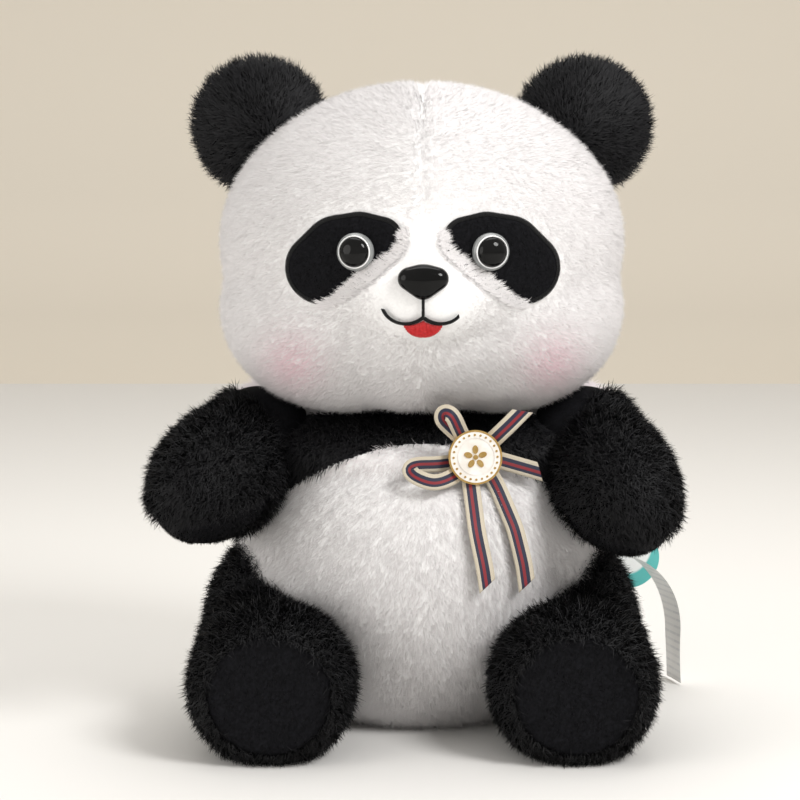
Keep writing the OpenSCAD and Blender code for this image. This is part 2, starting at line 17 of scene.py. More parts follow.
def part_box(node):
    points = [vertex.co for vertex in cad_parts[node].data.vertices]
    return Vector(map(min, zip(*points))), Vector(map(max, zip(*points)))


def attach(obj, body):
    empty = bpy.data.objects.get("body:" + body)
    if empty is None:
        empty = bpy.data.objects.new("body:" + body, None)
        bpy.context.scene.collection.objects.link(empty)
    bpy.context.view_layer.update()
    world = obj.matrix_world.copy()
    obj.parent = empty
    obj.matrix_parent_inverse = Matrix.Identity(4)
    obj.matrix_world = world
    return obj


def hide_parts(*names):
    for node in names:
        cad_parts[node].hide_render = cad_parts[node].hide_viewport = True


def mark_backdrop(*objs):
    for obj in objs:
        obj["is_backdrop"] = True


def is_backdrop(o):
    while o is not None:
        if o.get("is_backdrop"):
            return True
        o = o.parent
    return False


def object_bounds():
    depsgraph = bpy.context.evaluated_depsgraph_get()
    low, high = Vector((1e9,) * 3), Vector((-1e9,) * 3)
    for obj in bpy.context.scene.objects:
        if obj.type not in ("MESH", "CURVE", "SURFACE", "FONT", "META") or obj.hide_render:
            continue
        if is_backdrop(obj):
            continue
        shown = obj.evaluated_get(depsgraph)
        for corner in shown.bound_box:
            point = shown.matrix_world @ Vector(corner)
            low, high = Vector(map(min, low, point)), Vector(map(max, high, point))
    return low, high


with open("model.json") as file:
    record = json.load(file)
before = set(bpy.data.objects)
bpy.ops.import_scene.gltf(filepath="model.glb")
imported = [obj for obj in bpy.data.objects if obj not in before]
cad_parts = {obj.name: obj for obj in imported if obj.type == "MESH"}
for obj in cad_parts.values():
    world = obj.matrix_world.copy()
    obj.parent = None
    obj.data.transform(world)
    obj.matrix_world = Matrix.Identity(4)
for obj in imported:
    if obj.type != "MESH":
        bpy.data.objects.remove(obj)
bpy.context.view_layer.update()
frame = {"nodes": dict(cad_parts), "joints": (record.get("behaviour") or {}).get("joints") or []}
rng = np.random.default_rng(20)
MM = 0.001
JOINTS = {j["name"]: j for j in frame["joints"]}
SIDES = {"left": 1, "right": -1}
scene = bpy.context.scene
print("joints:", sorted(JOINTS))

# %% [markdown]
# ## Places taken from the frame
# Joint pivots give the middle of the head, the shoulders, the hips and the ears. Node boxes give the sizes.

# %% Measure the frame
def middle(node):
    low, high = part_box(node)
    return np.array((low + high) / 2)

def pivot(joint):
    return np.array(JOINTS[joint]["pos_m"])

def verts_of(node):
    mesh = frame["nodes"][node].data
    co = np.zeros(len(mesh.vertices) * 3, np.float32)
    mesh.vertices.foreach_get("co", co)
    return co.reshape(-1, 3).astype(float)

head_c = pivot("head_nod")
back_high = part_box("head_back_panel_left")[1]
head_rx = back_high.x
head_rz = back_high.z - head_c[2]
head_rr = np.array([head_rx, head_rz, head_rz])
nose_c = middle("nose")
eye_c = {s: middle("eye_ring_" + s) for s in SIDES}
belly_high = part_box("belly_panel")[1]
neck_c = pivot("neck_turn")
print("head middle", np.round(head_c / MM, 1), "radii", np.round(head_rr / MM, 1))

# %% [markdown]
# ## Skins
# Each skin starts as a few overlapping ellipsoids. A voxel remesh joins them and a smoothing pass rounds the
# joins, so a cheek runs into a muzzle the way stuffed cloth does.

# %% Skin tools
def mesh_object(name, verts, faces):
    mesh = bpy.data.meshes.new(name)
    mesh.from_pydata([tuple(v) for v in verts], [], [tuple(f) for f in faces])
    mesh.update()
    obj = bpy.data.objects.new(name, mesh)
    scene.collection.objects.link(obj)
    return obj

def smooth_shade(obj):
    obj.data.polygons.foreach_set("use_smooth", [True] * len(obj.data.polygons))

def bake_modifiers(obj):
    bpy.context.view_layer.update()
    graph = bpy.context.evaluated_depsgraph_get()
    mesh = bpy.data.meshes.new_from_object(obj.evaluated_get(graph))
    old = obj.data
    obj.modifiers.clear()
    obj.data = mesh
    bpy.data.meshes.remove(old)
    smooth_shade(obj)

def join_and_ease(obj, voxel, rounds):
    remesh = obj.modifiers.new("join", "REMESH")
    remesh.mode = "VOXEL"
    remesh.voxel_size = voxel
    ease = obj.modifiers.new("ease", "SMOOTH")
    ease.factor = 0.6
    ease.iterations = rounds
    bake_modifiers(obj)

def face_outward(obj, weld=0.0):
    bm = bmesh.new()
    bm.from_mesh(obj.data)
    if weld:
        bmesh.ops.remove_doubles(bm, verts=bm.verts, dist=weld)
    bmesh.ops.recalc_face_normals(bm, faces=bm.faces)
    bm.to_mesh(obj.data)
    bm.free()
    smooth_shade(obj)

def grid_faces(rows, cols):
    step = cols + 1
    corners = [i * step + j for i in range(rows) for j in range(cols)]
    return [(a, a + 1, a + step + 1, a + step) for a in corners]

def ring_faces(rows, ring, base=0):
    """Quads between rows + 1 rings of points, each ring closed."""
    corners = [(base + i * ring, j, (j + 1) % ring) for i in range(rows) for j in range(ring)]
    return [(low + j, low + k, low + ring + k, low + ring + j) for low, j, k in corners]

def add_uvs(obj, uvs):
    layer = obj.data.uv_layers.new(name="OFBake")
    loops = np.array([l.vertex_index for l in obj.data.loops])
    layer.data.foreach_set("uv", np.array(uvs)[loops].astype(np.float32).ravel())

def add_ellipsoid(bm, centre, radii, turn=None):
    made = bmesh.ops.create_icosphere(bm, subdivisions=4, radius=1)
    place = Matrix.Translation(Vector(centre))
    if turn is not None:
        place = place @ turn.to_4x4()
    place = place @ Matrix.Diagonal((*radii, 1))
    bmesh.ops.transform(bm, matrix=place, verts=made["verts"])

def soft_body(name, forms, voxel=2.2 * MM, rounds=6):
    bm = bmesh.new()
    for form in forms:
        add_ellipsoid(bm, *form)
    mesh = bpy.data.meshes.new(name)
    bm.to_mesh(mesh)
    bm.free()
    obj = bpy.data.objects.new(name, mesh)
    scene.collection.objects.link(obj)
    join_and_ease(obj, voxel, rounds)
    return obj

def get_points(obj):
    co = np.zeros(len(obj.data.vertices) * 3, np.float32)
    obj.data.vertices.foreach_get("co", co)
    return co.reshape(-1, 3).astype(float)

def set_points(obj, co):
    obj.data.vertices.foreach_set("co", co.astype(np.float32).ravel())
    obj.data.update()

# %% [markdown]
# ### Head, torso and limbs
# The seat and the soles are pressed flat by clamping, and a shallow crease runs down the centre seam.

# %% Build the skins
muzzle_drop = 17 * MM
muzzle_c = head_c + np.array([0, -38 * MM, -muzzle_drop])
head = soft_body("head_skin", [
    (head_c, head_rr),
    (head_c + np.array([32, -5, -27]) * MM, np.array([50, 46, 42]) * MM),
    (head_c + np.array([-32, -5, -27]) * MM, np.array([50, 46, 42]) * MM),
    (head_c + np.array([0, -7, -26]) * MM, np.array([60, 50, 43]) * MM),
    (muzzle_c, np.array([36, 31, 25.5]) * MM)], rounds=16)
co = get_points(head)
crease = np.exp(-(co[:, 0] / (2.2 * MM)) ** 2) * np.clip((head_c[1] + 20 * MM - co[:, 1]) / (20 * MM), 0, 1)
crease *= np.clip((co[:, 2] - nose_c[2] - 12 * MM) / (20 * MM), 0, 1)
out = (co - head_c) / np.linalg.norm(co - head_c, axis=1)[:, None]
set_points(head, co - out * crease[:, None] * 1.3 * MM)

# The top of the torso levels off under the neck: from this far below it, over this much height, both in mm.
SHOULDER_START, SHOULDER_ROUND = 22, 21
belly_c = np.array([0, 0, 62 * MM])
belly_rr = np.array([belly_high.x, belly_high.x * 74 / 78, 76 * MM])
chest_c = np.array([0, 4 * MM, 122 * MM])
chest_rr = np.array([88, 60, 58]) * MM
torso = soft_body("torso_skin", [(belly_c, belly_rr), (chest_c, chest_rr)], rounds=12)
co = get_points(torso)
neck_up = np.array(JOINTS["neck_turn"]["axis"])
height = (co - neck_c) @ neck_up
over = np.maximum(height / MM + SHOULDER_START, 0)
co -= np.outer((over - SHOULDER_ROUND * (1 - np.exp(-over / SHOULDER_ROUND))) * MM, neck_up)
co[:, 2] = np.maximum(co[:, 2], 0.6 * MM)
set_points(torso, co)

limbs = {}
limb_axis = {}
for side, s in SIDES.items():
    shoulder = pivot("arm_%s_lift" % side)
    reach = verts_of("arm_sleeve_" + side)
    reach = np.vstack([reach, verts_of("arm_palm_" + side)])
    far = reach[np.argmax(np.linalg.norm(reach - shoulder, axis=1))]
    along = (far - shoulder) / np.linalg.norm(far - shoulder)
    turn = Vector((0, -1, 0)).rotation_difference(Vector(along)).to_matrix()
    plump = shoulder + along * 30 * MM + np.array([3 * s, 0, -6]) * MM
    limbs["arm_" + side] = soft_body("arm_%s_skin" % side, [
        (shoulder + np.array([0, 0, -3]) * MM, (23 * MM,) * 3),
        (plump, np.array([23, 45, 25]) * MM, turn)], rounds=8)
    limb_axis["arm_" + side] = (shoulder, along)
    hip = pivot("leg_%s_spread" % side)
    sole_low, sole_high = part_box("leg_sole_" + side)
    foot_x = (sole_low.x + sole_high.x) / 2
    thigh = np.array([(hip[0] + foot_x) / 2, -38 * MM, 31 * MM])
    foot = np.array([foot_x, -80 * MM, 28 * MM])
    leg = soft_body("leg_%s_skin" % side, [
        (hip + np.array([-3 * s, -4, 4]) * MM, np.array([27, 34, 37]) * MM),
        (thigh, np.array([28, 38, 28]) * MM),
        (foot, np.array([31, 36, 30]) * MM)], rounds=5)
    co = get_points(leg)
    co[:, 2] = np.maximum(co[:, 2], 0.6 * MM)
    co[:, 1] = np.maximum(co[:, 1], sole_low.y + 1 * MM)
    set_points(leg, co)
    limbs["leg_" + side] = leg
    limb_axis["leg_" + side] = (hip, foot)
    ear_nodes = np.vstack([verts_of("ear_front_" + side), verts_of("ear_back_" + side)])
    root = pivot("ear_%s_fold" % side)
    fold = np.array(JOINTS["ear_%s_fold" % side]["axis"])
    up = np.array([-fold[2], 0, fold[0]])
    ear_mid = root + up * 7 * MM
    turn = Matrix.Rotation(math.atan2(up[0], up[2]), 3, "Y")
    limbs["ear_" + side] = soft_body("ear_%s_skin" % side, [
        (ear_mid, np.array([25.5, 10, 25.5]) * MM, turn)], voxel=1.6 * MM, rounds=2)
    limb_axis["ear_" + side] = (root, up)
tail_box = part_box("tail_skin")
tail_mid = np.array((tail_box[0] + tail_box[1]) / 2)
tail = soft_body("tail_skin_soft", [(tail_mid, (14.5 * MM,) * 3)], voxel=1.8 * MM, rounds=2)
neck = soft_body("neck_skin", [(neck_c + neck_up * 3 * MM, np.array([28, 28, 8]) * MM,
    Matrix.Rotation(math.radians(15), 3, "X"))], voxel=2.2 * MM, rounds=2)
skins = [head, torso, tail, neck, *limbs.values()]
print("skins:", ["%s %d" % (o.name, len(o.data.vertices)) for o in skins])

# %% [markdown]
# ## Materials
# One texture coordinate of a strand runs from 0 at the root to 1 at the tip, and the other carries a tint.
# Each strand is darker at its root than at its tip: painted shade where the pile shades itself.

# %% Material tools
def new_material(name):
    mat = bpy.data.materials.new(name)
    mat.use_nodes = True
    shader = mat.node_tree.nodes["Principled BSDF"]
    return mat, mat.node_tree.nodes, mat.node_tree.links, shader

def set_values(shader, **values):
    for key, value in values.items():
        shader.inputs[key.replace("_", " ")].default_value = value

def read_uv(nodes, links):
    uv = nodes.new("ShaderNodeUVMap")
    uv.uv_map = "OFBake"
    split = nodes.new("ShaderNodeSeparateXYZ")
    links.new(uv.outputs["UV"], split.inputs[0])
    return uv, split

def add_bump(nodes, links, shader, height, strength, distance):
    push = nodes.new("ShaderNodeBump")
    push.inputs["Strength"].default_value = strength
    push.inputs["Distance"].default_value = distance
    links.new(height, push.inputs["Height"])
    links.new(push.outputs["Normal"], shader.inputs["Normal"])

# The ramp makes every strand darker at its root than at its tip: root is a painted shade colour for the roots,
# tip is the strand's own colour.
def pile_material(name, root, tip, tint, rough=0.8, spec=0.25, sheen=0.2, through=0.0):
    mat, nodes, links, shader = new_material(name)
    uv, split = read_uv(nodes, links)
    ramp = nodes.new("ShaderNodeValToRGB")
    ramp.color_ramp.elements[0].color = (*root, 1)
    ramp.color_ramp.elements[1].color = (*tip, 1)
    links.new(split.outputs["Y"], ramp.inputs[0])
    mix = nodes.new("ShaderNodeMix")
    mix.data_type = "RGBA"
    mix.inputs["B"].default_value = (*tint, 1)
    links.new(split.outputs["X"], mix.inputs["Factor"])
    links.new(ramp.outputs["Color"], mix.inputs["A"])
    links.new(mix.outputs["Result"], shader.inputs["Base Color"])
    set_values(shader, Roughness=rough, Specular_IOR_Level=spec, Sheen_Weight=sheen)
    if through:
        clear = nodes.new("ShaderNodeBsdfTransparent")
        clear.inputs["Color"].default_value = (through, through, through, 1)
        path = nodes.new("ShaderNodeLightPath")
        blend = nodes.new("ShaderNodeMixShader")
        links.new(path.outputs["Is Shadow Ray"], blend.inputs[0])
        links.new(shader.outputs[0], blend.inputs[1])
        links.new(clear.outputs[0], blend.inputs[2])
        links.new(blend.outputs[0], nodes["Material Output"].inputs["Surface"])
    return mat

def noise_material(name, dark, light, scale, rough=0.6, spec=0.4, metal=0.0, bump=0.0, coat=0.0):
    mat, nodes, links, shader = new_material(name)
    place = nodes.new("ShaderNodeTexCoord")
    grain = nodes.new("ShaderNodeTexNoise")
    grain.inputs["Scale"].default_value = scale
    grain.inputs["Detail"].default_value = 4
    links.new(place.outputs["Object"], grain.inputs["Vector"])
    ramp = nodes.new("ShaderNodeValToRGB")
    ramp.color_ramp.elements[0].position = 0.35
    ramp.color_ramp.elements[1].position = 0.65
    ramp.color_ramp.elements[0].color = (*dark, 1)
    ramp.color_ramp.elements[1].color = (*light, 1)
    links.new(grain.outputs["Fac"], ramp.inputs[0])
    links.new(ramp.outputs["Color"], shader.inputs["Base Color"])
    if bump:
        add_bump(nodes, links, shader, grain.outputs["Fac"], bump, 0.0004)
    set_values(shader, Roughness=rough, Metallic=metal, Specular_IOR_Level=spec, Coat_Weight=coat)
    return mat

# The cloth's own white. The white pile also uses it as its root colour, where it is painted shade; the darker
# root colours of the black piles are painted shade too.
CLOTH_WHITE_AND_ROOT_SHADE = (0.86, 0.855, 0.85)
white_pile = pile_material("white_pile", CLOTH_WHITE_AND_ROOT_SHADE, (0.94, 0.935, 0.93), (0.96, 0.46, 0.58),
    spec=0.1, sheen=0.0, through=0.75)
black_pile = pile_material("black_pile", (0.003, 0.003, 0.004), (0.013, 0.013, 0.015), (0.0, 0.0, 0.0),
    rough=0.6, spec=0.25, sheen=0.03)
velvet_pile = pile_material("velvet_pile", (0.003, 0.003, 0.004), (0.009, 0.009, 0.010), (0.0, 0.0, 0.0),
    rough=0.7, spec=0.15, sheen=0.02)
white_cloth = noise_material("white_cloth", CLOTH_WHITE_AND_ROOT_SHADE, (0.92, 0.915, 0.91), 900, rough=0.9, spec=0.1)
black_cloth = noise_material("black_cloth", (0.004, 0.004, 0.005), (0.009, 0.009, 0.011), 900,
    rough=0.9, spec=0.1)
black_plastic = noise_material("black_plastic", (0.002, 0.002, 0.002), (0.005, 0.005, 0.005), 60,
    rough=0.07, spec=0.2)

# %% [markdown]
# ## Pile
# Strands are thin tapered blades. They lean along a flow field, gather in small tufts, and take most of their
# shading normal from the cloth under them, which is what gives dense pile its soft look.

# %% Pile tools
def surface_samples(obj, count):
    mesh = obj.data
    mesh.calc_loop_triangles()
    tri = np.zeros(len(mesh.loop_triangles) * 3, np.int32)
    mesh.loop_triangles.foreach_get("vertices", tri)
    tri = tri.reshape(-1, 3)
    co = get_points(obj)
    nor = np.zeros(len(mesh.vertices) * 3, np.float32)
    mesh.vertex_normals.foreach_get("vector", nor)
    nor = nor.reshape(-1, 3).astype(float)
    a, b, c = co[tri[:, 0]], co[tri[:, 1]], co[tri[:, 2]]
    area = np.linalg.norm(np.cross(b - a, c - a), axis=1) / 2
    pick = rng.choice(len(tri), size=count, p=area / area.sum())
    r1, r2 = np.sqrt(rng.random(count)), rng.random(count)
    w = np.stack([1 - r1, r1 * (1 - r2), r1 * r2], axis=1)
    p = (co[tri[pick]] * w[:, :, None]).sum(1)
    n = (nor[tri[pick]] * w[:, :, None]).sum(1)
    n /= np.linalg.norm(n, axis=1)[:, None]
    return p, n, area.sum()

def unit(v):
    return v / np.maximum(np.linalg.norm(v, axis=1), 1e-9)[:, None]

def tangent(n, v):
    v = np.broadcast_to(v, n.shape)
    return v - n * (v * n).sum(1)[:, None]

def gather(base, tip, share, strength):
    """Pulls tips towards the nearest of a few chosen ones, which parts the pile into tufts."""
    centres = rng.choice(len(base), size=max(2, int(len(base) * share)), replace=False)
    tree = KDTree(len(centres))
    for i, c in enumerate(centres):
        tree.insert(base[c], i)
    tree.balance()
    near = np.array([tree.find(b)[1] for b in base])
    goal = tip[centres][near]
    pull = strength * rng.random(len(base))[:, None]
    return tip * (1 - pull) + goal * pull

def strands(name, parent, material, base, normal, flow, length, lay, width, tint=None, tuft=0.12, pull=0.5,
        jitter=0.18, kind="bent", droop=0.0):
    n = len(base)
    wild = rng.normal(size=(n, 3)) * jitter
    d1 = unit(normal * (1 - lay)[:, None] + flow * (lay * 0.6)[:, None] + wild)
    d2 = unit(normal * (1 - lay)[:, None] * 0.6 + flow * lay[:, None] * 1.3 + wild * 1.6
        + np.array([0, 0, -droop]))
    root = base - normal * 0.3 * MM
    mid = root + d1 * (length * 0.55)[:, None]
    tip = gather(base, mid + d2 * (length * 0.5)[:, None], tuft, pull)
    side = unit(np.cross(normal, d1) + np.cross(rng.normal(size=(n, 3)), d1) * 0.35)
    turned = (np.cross(side, d1) * normal).sum(1) < 0
    side[turned] *= -1
    w = (width * (0.7 + 0.6 * rng.random(n)))[:, None] / 2
    soft = unit(normal * 0.85 + side * (rng.random(n)[:, None] - 0.5) * 0.5 + d2 * 0.2)
    tint = np.zeros(n) if tint is None else tint
    shade = rng.random(n) * 0.3
    if kind == "spike":
        out = unit(np.cross(side, d1))
        points = np.stack([root - side * w, root + side * w, root + out * w * 1.2, tip], axis=1)
        faces = np.array([0, 3, 1, 1, 3, 2, 2, 3, 0])
        us = np.array([-1, 1, 0, 0])
        vs = np.array([0, 0, 0, 1.0])
    elif kind == "bent":
        bend = side * w * 0.8
        points = np.stack([root - side * w, root + side * w, mid - bend, mid + bend, tip], axis=1)
        faces = np.array([0, 1, 3, 0, 3, 2, 2, 3, 4])
        us = np.array([-1, 1, -1, 1, 0])
        vs = np.array([0, 0, 0.5, 0.5, 1.0])
    else:
        points = np.stack([root - side * w, root + side * w, tip], axis=1)
        faces = np.array([0, 1, 2])
        us = np.array([-1, 1, 0])
        vs = np.array([0, 0, 1.0])
    k = points.shape[1]
    made = []
    most = 190000 // (len(faces) // 3)
    parts = max(1, math.ceil(n / most))
    for part in range(parts):
        pick = slice(part * n // parts, (part + 1) * n // parts)
        pts = points[pick].reshape(-1, 3)
        m = len(pts) // k
        loops = (np.arange(m)[:, None] * k + faces[None, :]).ravel()
        mesh = bpy.data.meshes.new(name)
        mesh.vertices.add(len(pts))
        mesh.vertices.foreach_set("co", pts.astype(np.float32).ravel())
        mesh.loops.add(len(loops))
        mesh.loops.foreach_set("vertex_index", loops.astype(np.int32))
        tris = len(loops) // 3
        mesh.polygons.add(tris)
        mesh.polygons.foreach_set("loop_start", np.arange(0, tris * 3, 3, dtype=np.int32))
        mesh.polygons.foreach_set("loop_total", np.full(tris, 3, np.int32))
        mesh.update(calc_edges=True)
        layer = mesh.uv_layers.new(name="OFBake")
        u = np.clip(0.04 + 0.92 * tint[pick][:, None] + us[None, :] * 0.03, 0.005, 0.995)
        v = np.clip(vs[None, :] * (1 - shade[pick][:, None]), 0.02, 0.98)
        uv = np.stack([np.broadcast_to(u, v.shape), v], axis=2).reshape(-1, 2)[loops]
        layer.data.foreach_set("uv", uv.astype(np.float32).ravel())
        mesh.polygons.foreach_set("use_smooth", np.ones(tris, bool))
        mesh.normals_split_custom_set_from_vertices(np.repeat(soft[pick], k, axis=0))
        mesh.materials.append(material)
        obj = bpy.data.objects.new("%s_%d" % (name, part + 1) if parts > 1 else name, mesh)
        scene.collection.objects.link(obj)
        obj.parent = parent
        made.append(obj)
    return made

DENSITY = 1.0

def count_for(obj, per_mm2):
    mesh = obj.data
    area = sum(p.area for p in mesh.polygons)
    return int(area / MM ** 2 * per_mm2 * DENSITY)

# %% [markdown]
# ### Face outlines
# The eye patch is the rounded hull of four circles, and the same outline trims the white pile.

# %% Patch outline
def patch_polygon(s):
    eye = eye_c["left"]
    lobes = ((13.3, -7, 14.2), (6, -1, 15), (-2, 2.8, 12.6), (-10.3, 5, 8.6))
    circles = [(eye[0] + x * MM, eye[2] + z * MM, r * MM) for x, z, r in lobes]
    t = np.linspace(0, 2 * np.pi, 72, endpoint=False)
    pts = np.vstack([np.stack([x + r * np.cos(t), z + r * np.sin(t)], 1) for x, z, r in circles])
    order = np.lexsort((pts[:, 1], pts[:, 0]))
    pts = pts[order]
    def half(points):
        chain = []
        for p in points:
            while len(chain) > 1 and np.cross(chain[-1] - chain[-2], p - chain[-2]) <= 0:
                chain.pop()
            chain.append(p)
        return chain[:-1]
    hull = np.array(half(pts) + half(pts[::-1]))
    hull[:, 0] *= s
    return hull if s > 0 else hull[::-1]

def depth_inside(poly, x, z):
    a, b = poly, np.roll(poly, -1, axis=0)
    e = b - a
    n = np.stack([-e[:, 1], e[:, 0]], 1)
    n /= np.linalg.norm(n, axis=1)[:, None]
    from_x, from_z = x[:, None] - a[None, :, 0], z[:, None] - a[None, :, 1]
    return (from_x * n[None, :, 0] + from_z * n[None, :, 1]).min(1)

patches = {side: patch_polygon(s) for side, s in SIDES.items()}

face_tree = BVHTree.FromObject(head, bpy.context.evaluated_depsgraph_get())
def face_y(x, z):
    """Depth of the face skin in front of a place across and a height."""
    rays = [Vector((a, -1, b)) for a, b in zip(np.ravel(x), np.ravel(z))]
    hits = [face_tree.ray_cast(ray, Vector((0, 1, 0)))[0] for ray in rays]
    return np.array([h.y if h is not None else head_c[1] for h in hits]).reshape(np.shape(x))

# %% [markdown]
# ### Pile on the head
# The pile parts at the centre seam and sweeps outward and down. It is left out under the patches and the nose.

# %% Head pile
BLUSH_X, BLUSH_DROP, BLUSH_R = 51 * MM, 46 * MM, 12 * MM

def low_edge(across, rise):
    """True along the lower inner edge of a patch, which the white pile of the muzzle overlaps."""
    return (rise < -2 * MM - 0.55 * across) & (across < 14 * MM) & (across > -24 * MM)

def pile_head():
    p, n, area = surface_samples(head, count_for(head, 3.7))
    keep = np.ones(len(p), bool)
    front = p[:, 1] < head_c[1]
    fringe = np.zeros(len(p), bool)
    raised = np.zeros(len(p), bool)
    for side, s in SIDES.items():
        deep = depth_inside(patches[side], p[:, 0], p[:, 2])
        across, rise = s * p[:, 0] - eye_c["left"][0], p[:, 2] - eye_c[side][2]
        low_side = front & low_edge(across, rise)
        overlap = np.where(low_side, 4.0 * MM - 0.16 * np.abs(across + 2 * MM), 0.6 * MM)
        clear_eye = np.hypot(across, rise) > 8.2 * MM
        keep &= clear_eye | ~front
        raised |= low_side & (deep > -1.4 * MM)
        keep &= ~((deep > overlap) & front)
        fringe |= low_side & (deep > -3 * MM)
    near_nose = ((p[:, 0] - nose_c[0]) / (8.5 * MM)) ** 2 + ((p[:, 2] - nose_c[2]) / (6 * MM)) ** 2 < 1
    keep &= ~(near_nose & front)
    for side in SIDES:
        root = limb_axis["ear_" + side][0]
        keep &= np.linalg.norm(p - root, axis=1) > 7 * MM
    p = p + n * (raised * 1.5 * MM)[:, None]
    again = np.repeat(np.flatnonzero(keep & fringe), 2)
    pick = np.concatenate([np.flatnonzero(keep), again])
    p, n, fringe = p[pick], n[pick], fringe[pick]
    p[-len(again):] += tangent(n[-len(again):], rng.normal(size=(len(again), 3)) * 0.35 * MM)
    sx = np.tanh(p[:, 0] / (6 * MM))
    flow = np.stack([sx, np.full(len(p), 0.15), -0.55 + 0 * sx], 1)
    centre_low = np.exp(-((p[:, 0]) / (30 * MM)) ** 2 - ((p[:, 2] - nose_c[2]) / (30 * MM)) ** 2)
    away = p - (nose_c + np.array([0, 0, 4 * MM]))
    flow = unit(flow) * (1 - centre_low)[:, None] + unit(away) * centre_low[:, None]
    over = np.stack([np.sign(p[:, 0]), 0 * sx, 0.35 + 0 * sx], 1)
    flow = np.where(fringe[:, None], over, flow)
    flow = unit(tangent(n, flow))
    small = np.clip(1 - centre_low, 0.25, 1)
    length = (3.6 * MM) * small * (0.75 + 0.5 * rng.random(len(p)))
    behind = np.clip((p[:, 1] - head_c[1]) / (40 * MM), 0, 1)
    length *= 1 + 0.35 * behind
    patch_edge = np.full(len(p), -1.0)
    for side in SIDES:
        patch_edge = np.maximum(patch_edge, depth_inside(patches[side], p[:, 0], p[:, 2]))
    close = np.clip(1 + patch_edge / (5 * MM), 0, 1) * (p[:, 1] < head_c[1])
    length *= 1 - 0.45 * close
    mouth_rise = p[:, 2] - (head_c[2] - 25 * MM)
    mouth = np.exp(-(p[:, 0] / (16 * MM)) ** 4 - (mouth_rise / (9 * MM)) ** 4) * (p[:, 1] < head_c[1])
    length *= 1 - 0.6 * mouth
    length = np.where(fringe, 2.8 * MM * (0.7 + 0.6 * rng.random(len(p))), length)
    lay = 0.42 + 0.16 * rng.random(len(p)) + 0.15 * centre_low
    d2 = ((np.abs(p[:, 0]) - BLUSH_X) ** 2 + (p[:, 2] - (head_c[2] - BLUSH_DROP)) ** 2) / BLUSH_R ** 2
    tint = 0.42 * np.exp(-d2) * (p[:, 1] < head_c[1] + 10 * MM)
    lay = np.where(fringe, 0.62, lay)
    strands("head_pile", head, white_pile, p, n, flow, length, lay, 0.27 * MM, tint=tint, tuft=0.12,
        pull=0.25, kind="spike", jitter=0.14)
    print("head strands", len(p), "on", round(area / MM ** 2), "mm2")

pile_head()

# %% [markdown]
# ### Pile on the torso and limbs
# The chest band is black in front of the side seam and above the belly's arch. Long pile hangs down a little.

# %% Body pile
ARCH_R = 86 * MM
ARCH_TOP = 119.5 * MM

def torso_colours(p):
    lean = math.tan(math.radians(22))
    ahead = p[:, 1] < -14 * MM + (120 * MM - p[:, 2]) * lean
    arch = p[:, 0] ** 2 + (p[:, 2] - (ARCH_TOP - ARCH_R)) ** 2 < ARCH_R ** 2
    return ahead & ~arch

def away_from_limbs(p):
    keep = np.ones(len(p), bool)
    for name, (root, _) in limb_axis.items():
        reach = {"arm": 25 * MM, "leg": 31 * MM, "ear": 5 * MM}[name[:3]]
        keep &= np.linalg.norm(p - root, axis=1) > reach
    return keep

def pile_torso():
    p, n, _ = surface_samples(torso, count_for(torso, 2.2))
    q = (p - head_c) / (head_rr + 0.5 * MM)
    keep = ((q ** 2).sum(1) > 1) & (p[:, 2] > 1.2 * MM) & away_from_limbs(p)
    keep &= (n[:, 2] > -0.85)
    badge = middle("badge_plate")
    keep &= ~((np.hypot(p[:, 0] - badge[0], p[:, 2] - badge[2]) < 9.5 * MM) & (p[:, 1] < 0))
    p, n = p[keep], n[keep]
    black = torso_colours(p)
    sx = np.tanh(p[:, 0] / (8 * MM))
    flow = unit(tangent(n, np.stack([sx * 0.35, 0 * sx, -1 + 0 * sx], 1)))
    looks = ((False, white_pile, "white", 4.6, 0.3, "spike"), (True, black_pile, "black", 5.2, 0.34, "bent"))
    for is_black, mat, colour, base_len, width, kind in looks:
        m = black == is_black
        k = int(m.sum())
        length = base_len * MM * (0.7 + 0.6 * rng.random(k))
        tint = np.zeros(k)
        if not is_black:
            high = np.clip((p[m, 2] - 105 * MM) / (25 * MM), 0, 1)
            tint = 0.10 * high
            length *= 1 + 0.25 * high
        lay = 0.45 + 0.2 * rng.random(k)
        strands("torso_%s_pile" % colour, torso, mat, p[m], n[m], flow[m], length, lay, width * MM,
            tint=tint, tuft=0.06, pull=0.35, droop=0.25, kind=kind)
    print("torso strands", len(p))

def sunk_in(p, centre, radii):
    """True for the points more than 2 mm under an ellipsoid of the torso."""
    return (((p - centre) / (radii - 2 * MM)) ** 2).sum(1) < 1

LIMB_DENSITY = {"arm": 3.2, "leg": 2.8, "ear": 3.6}

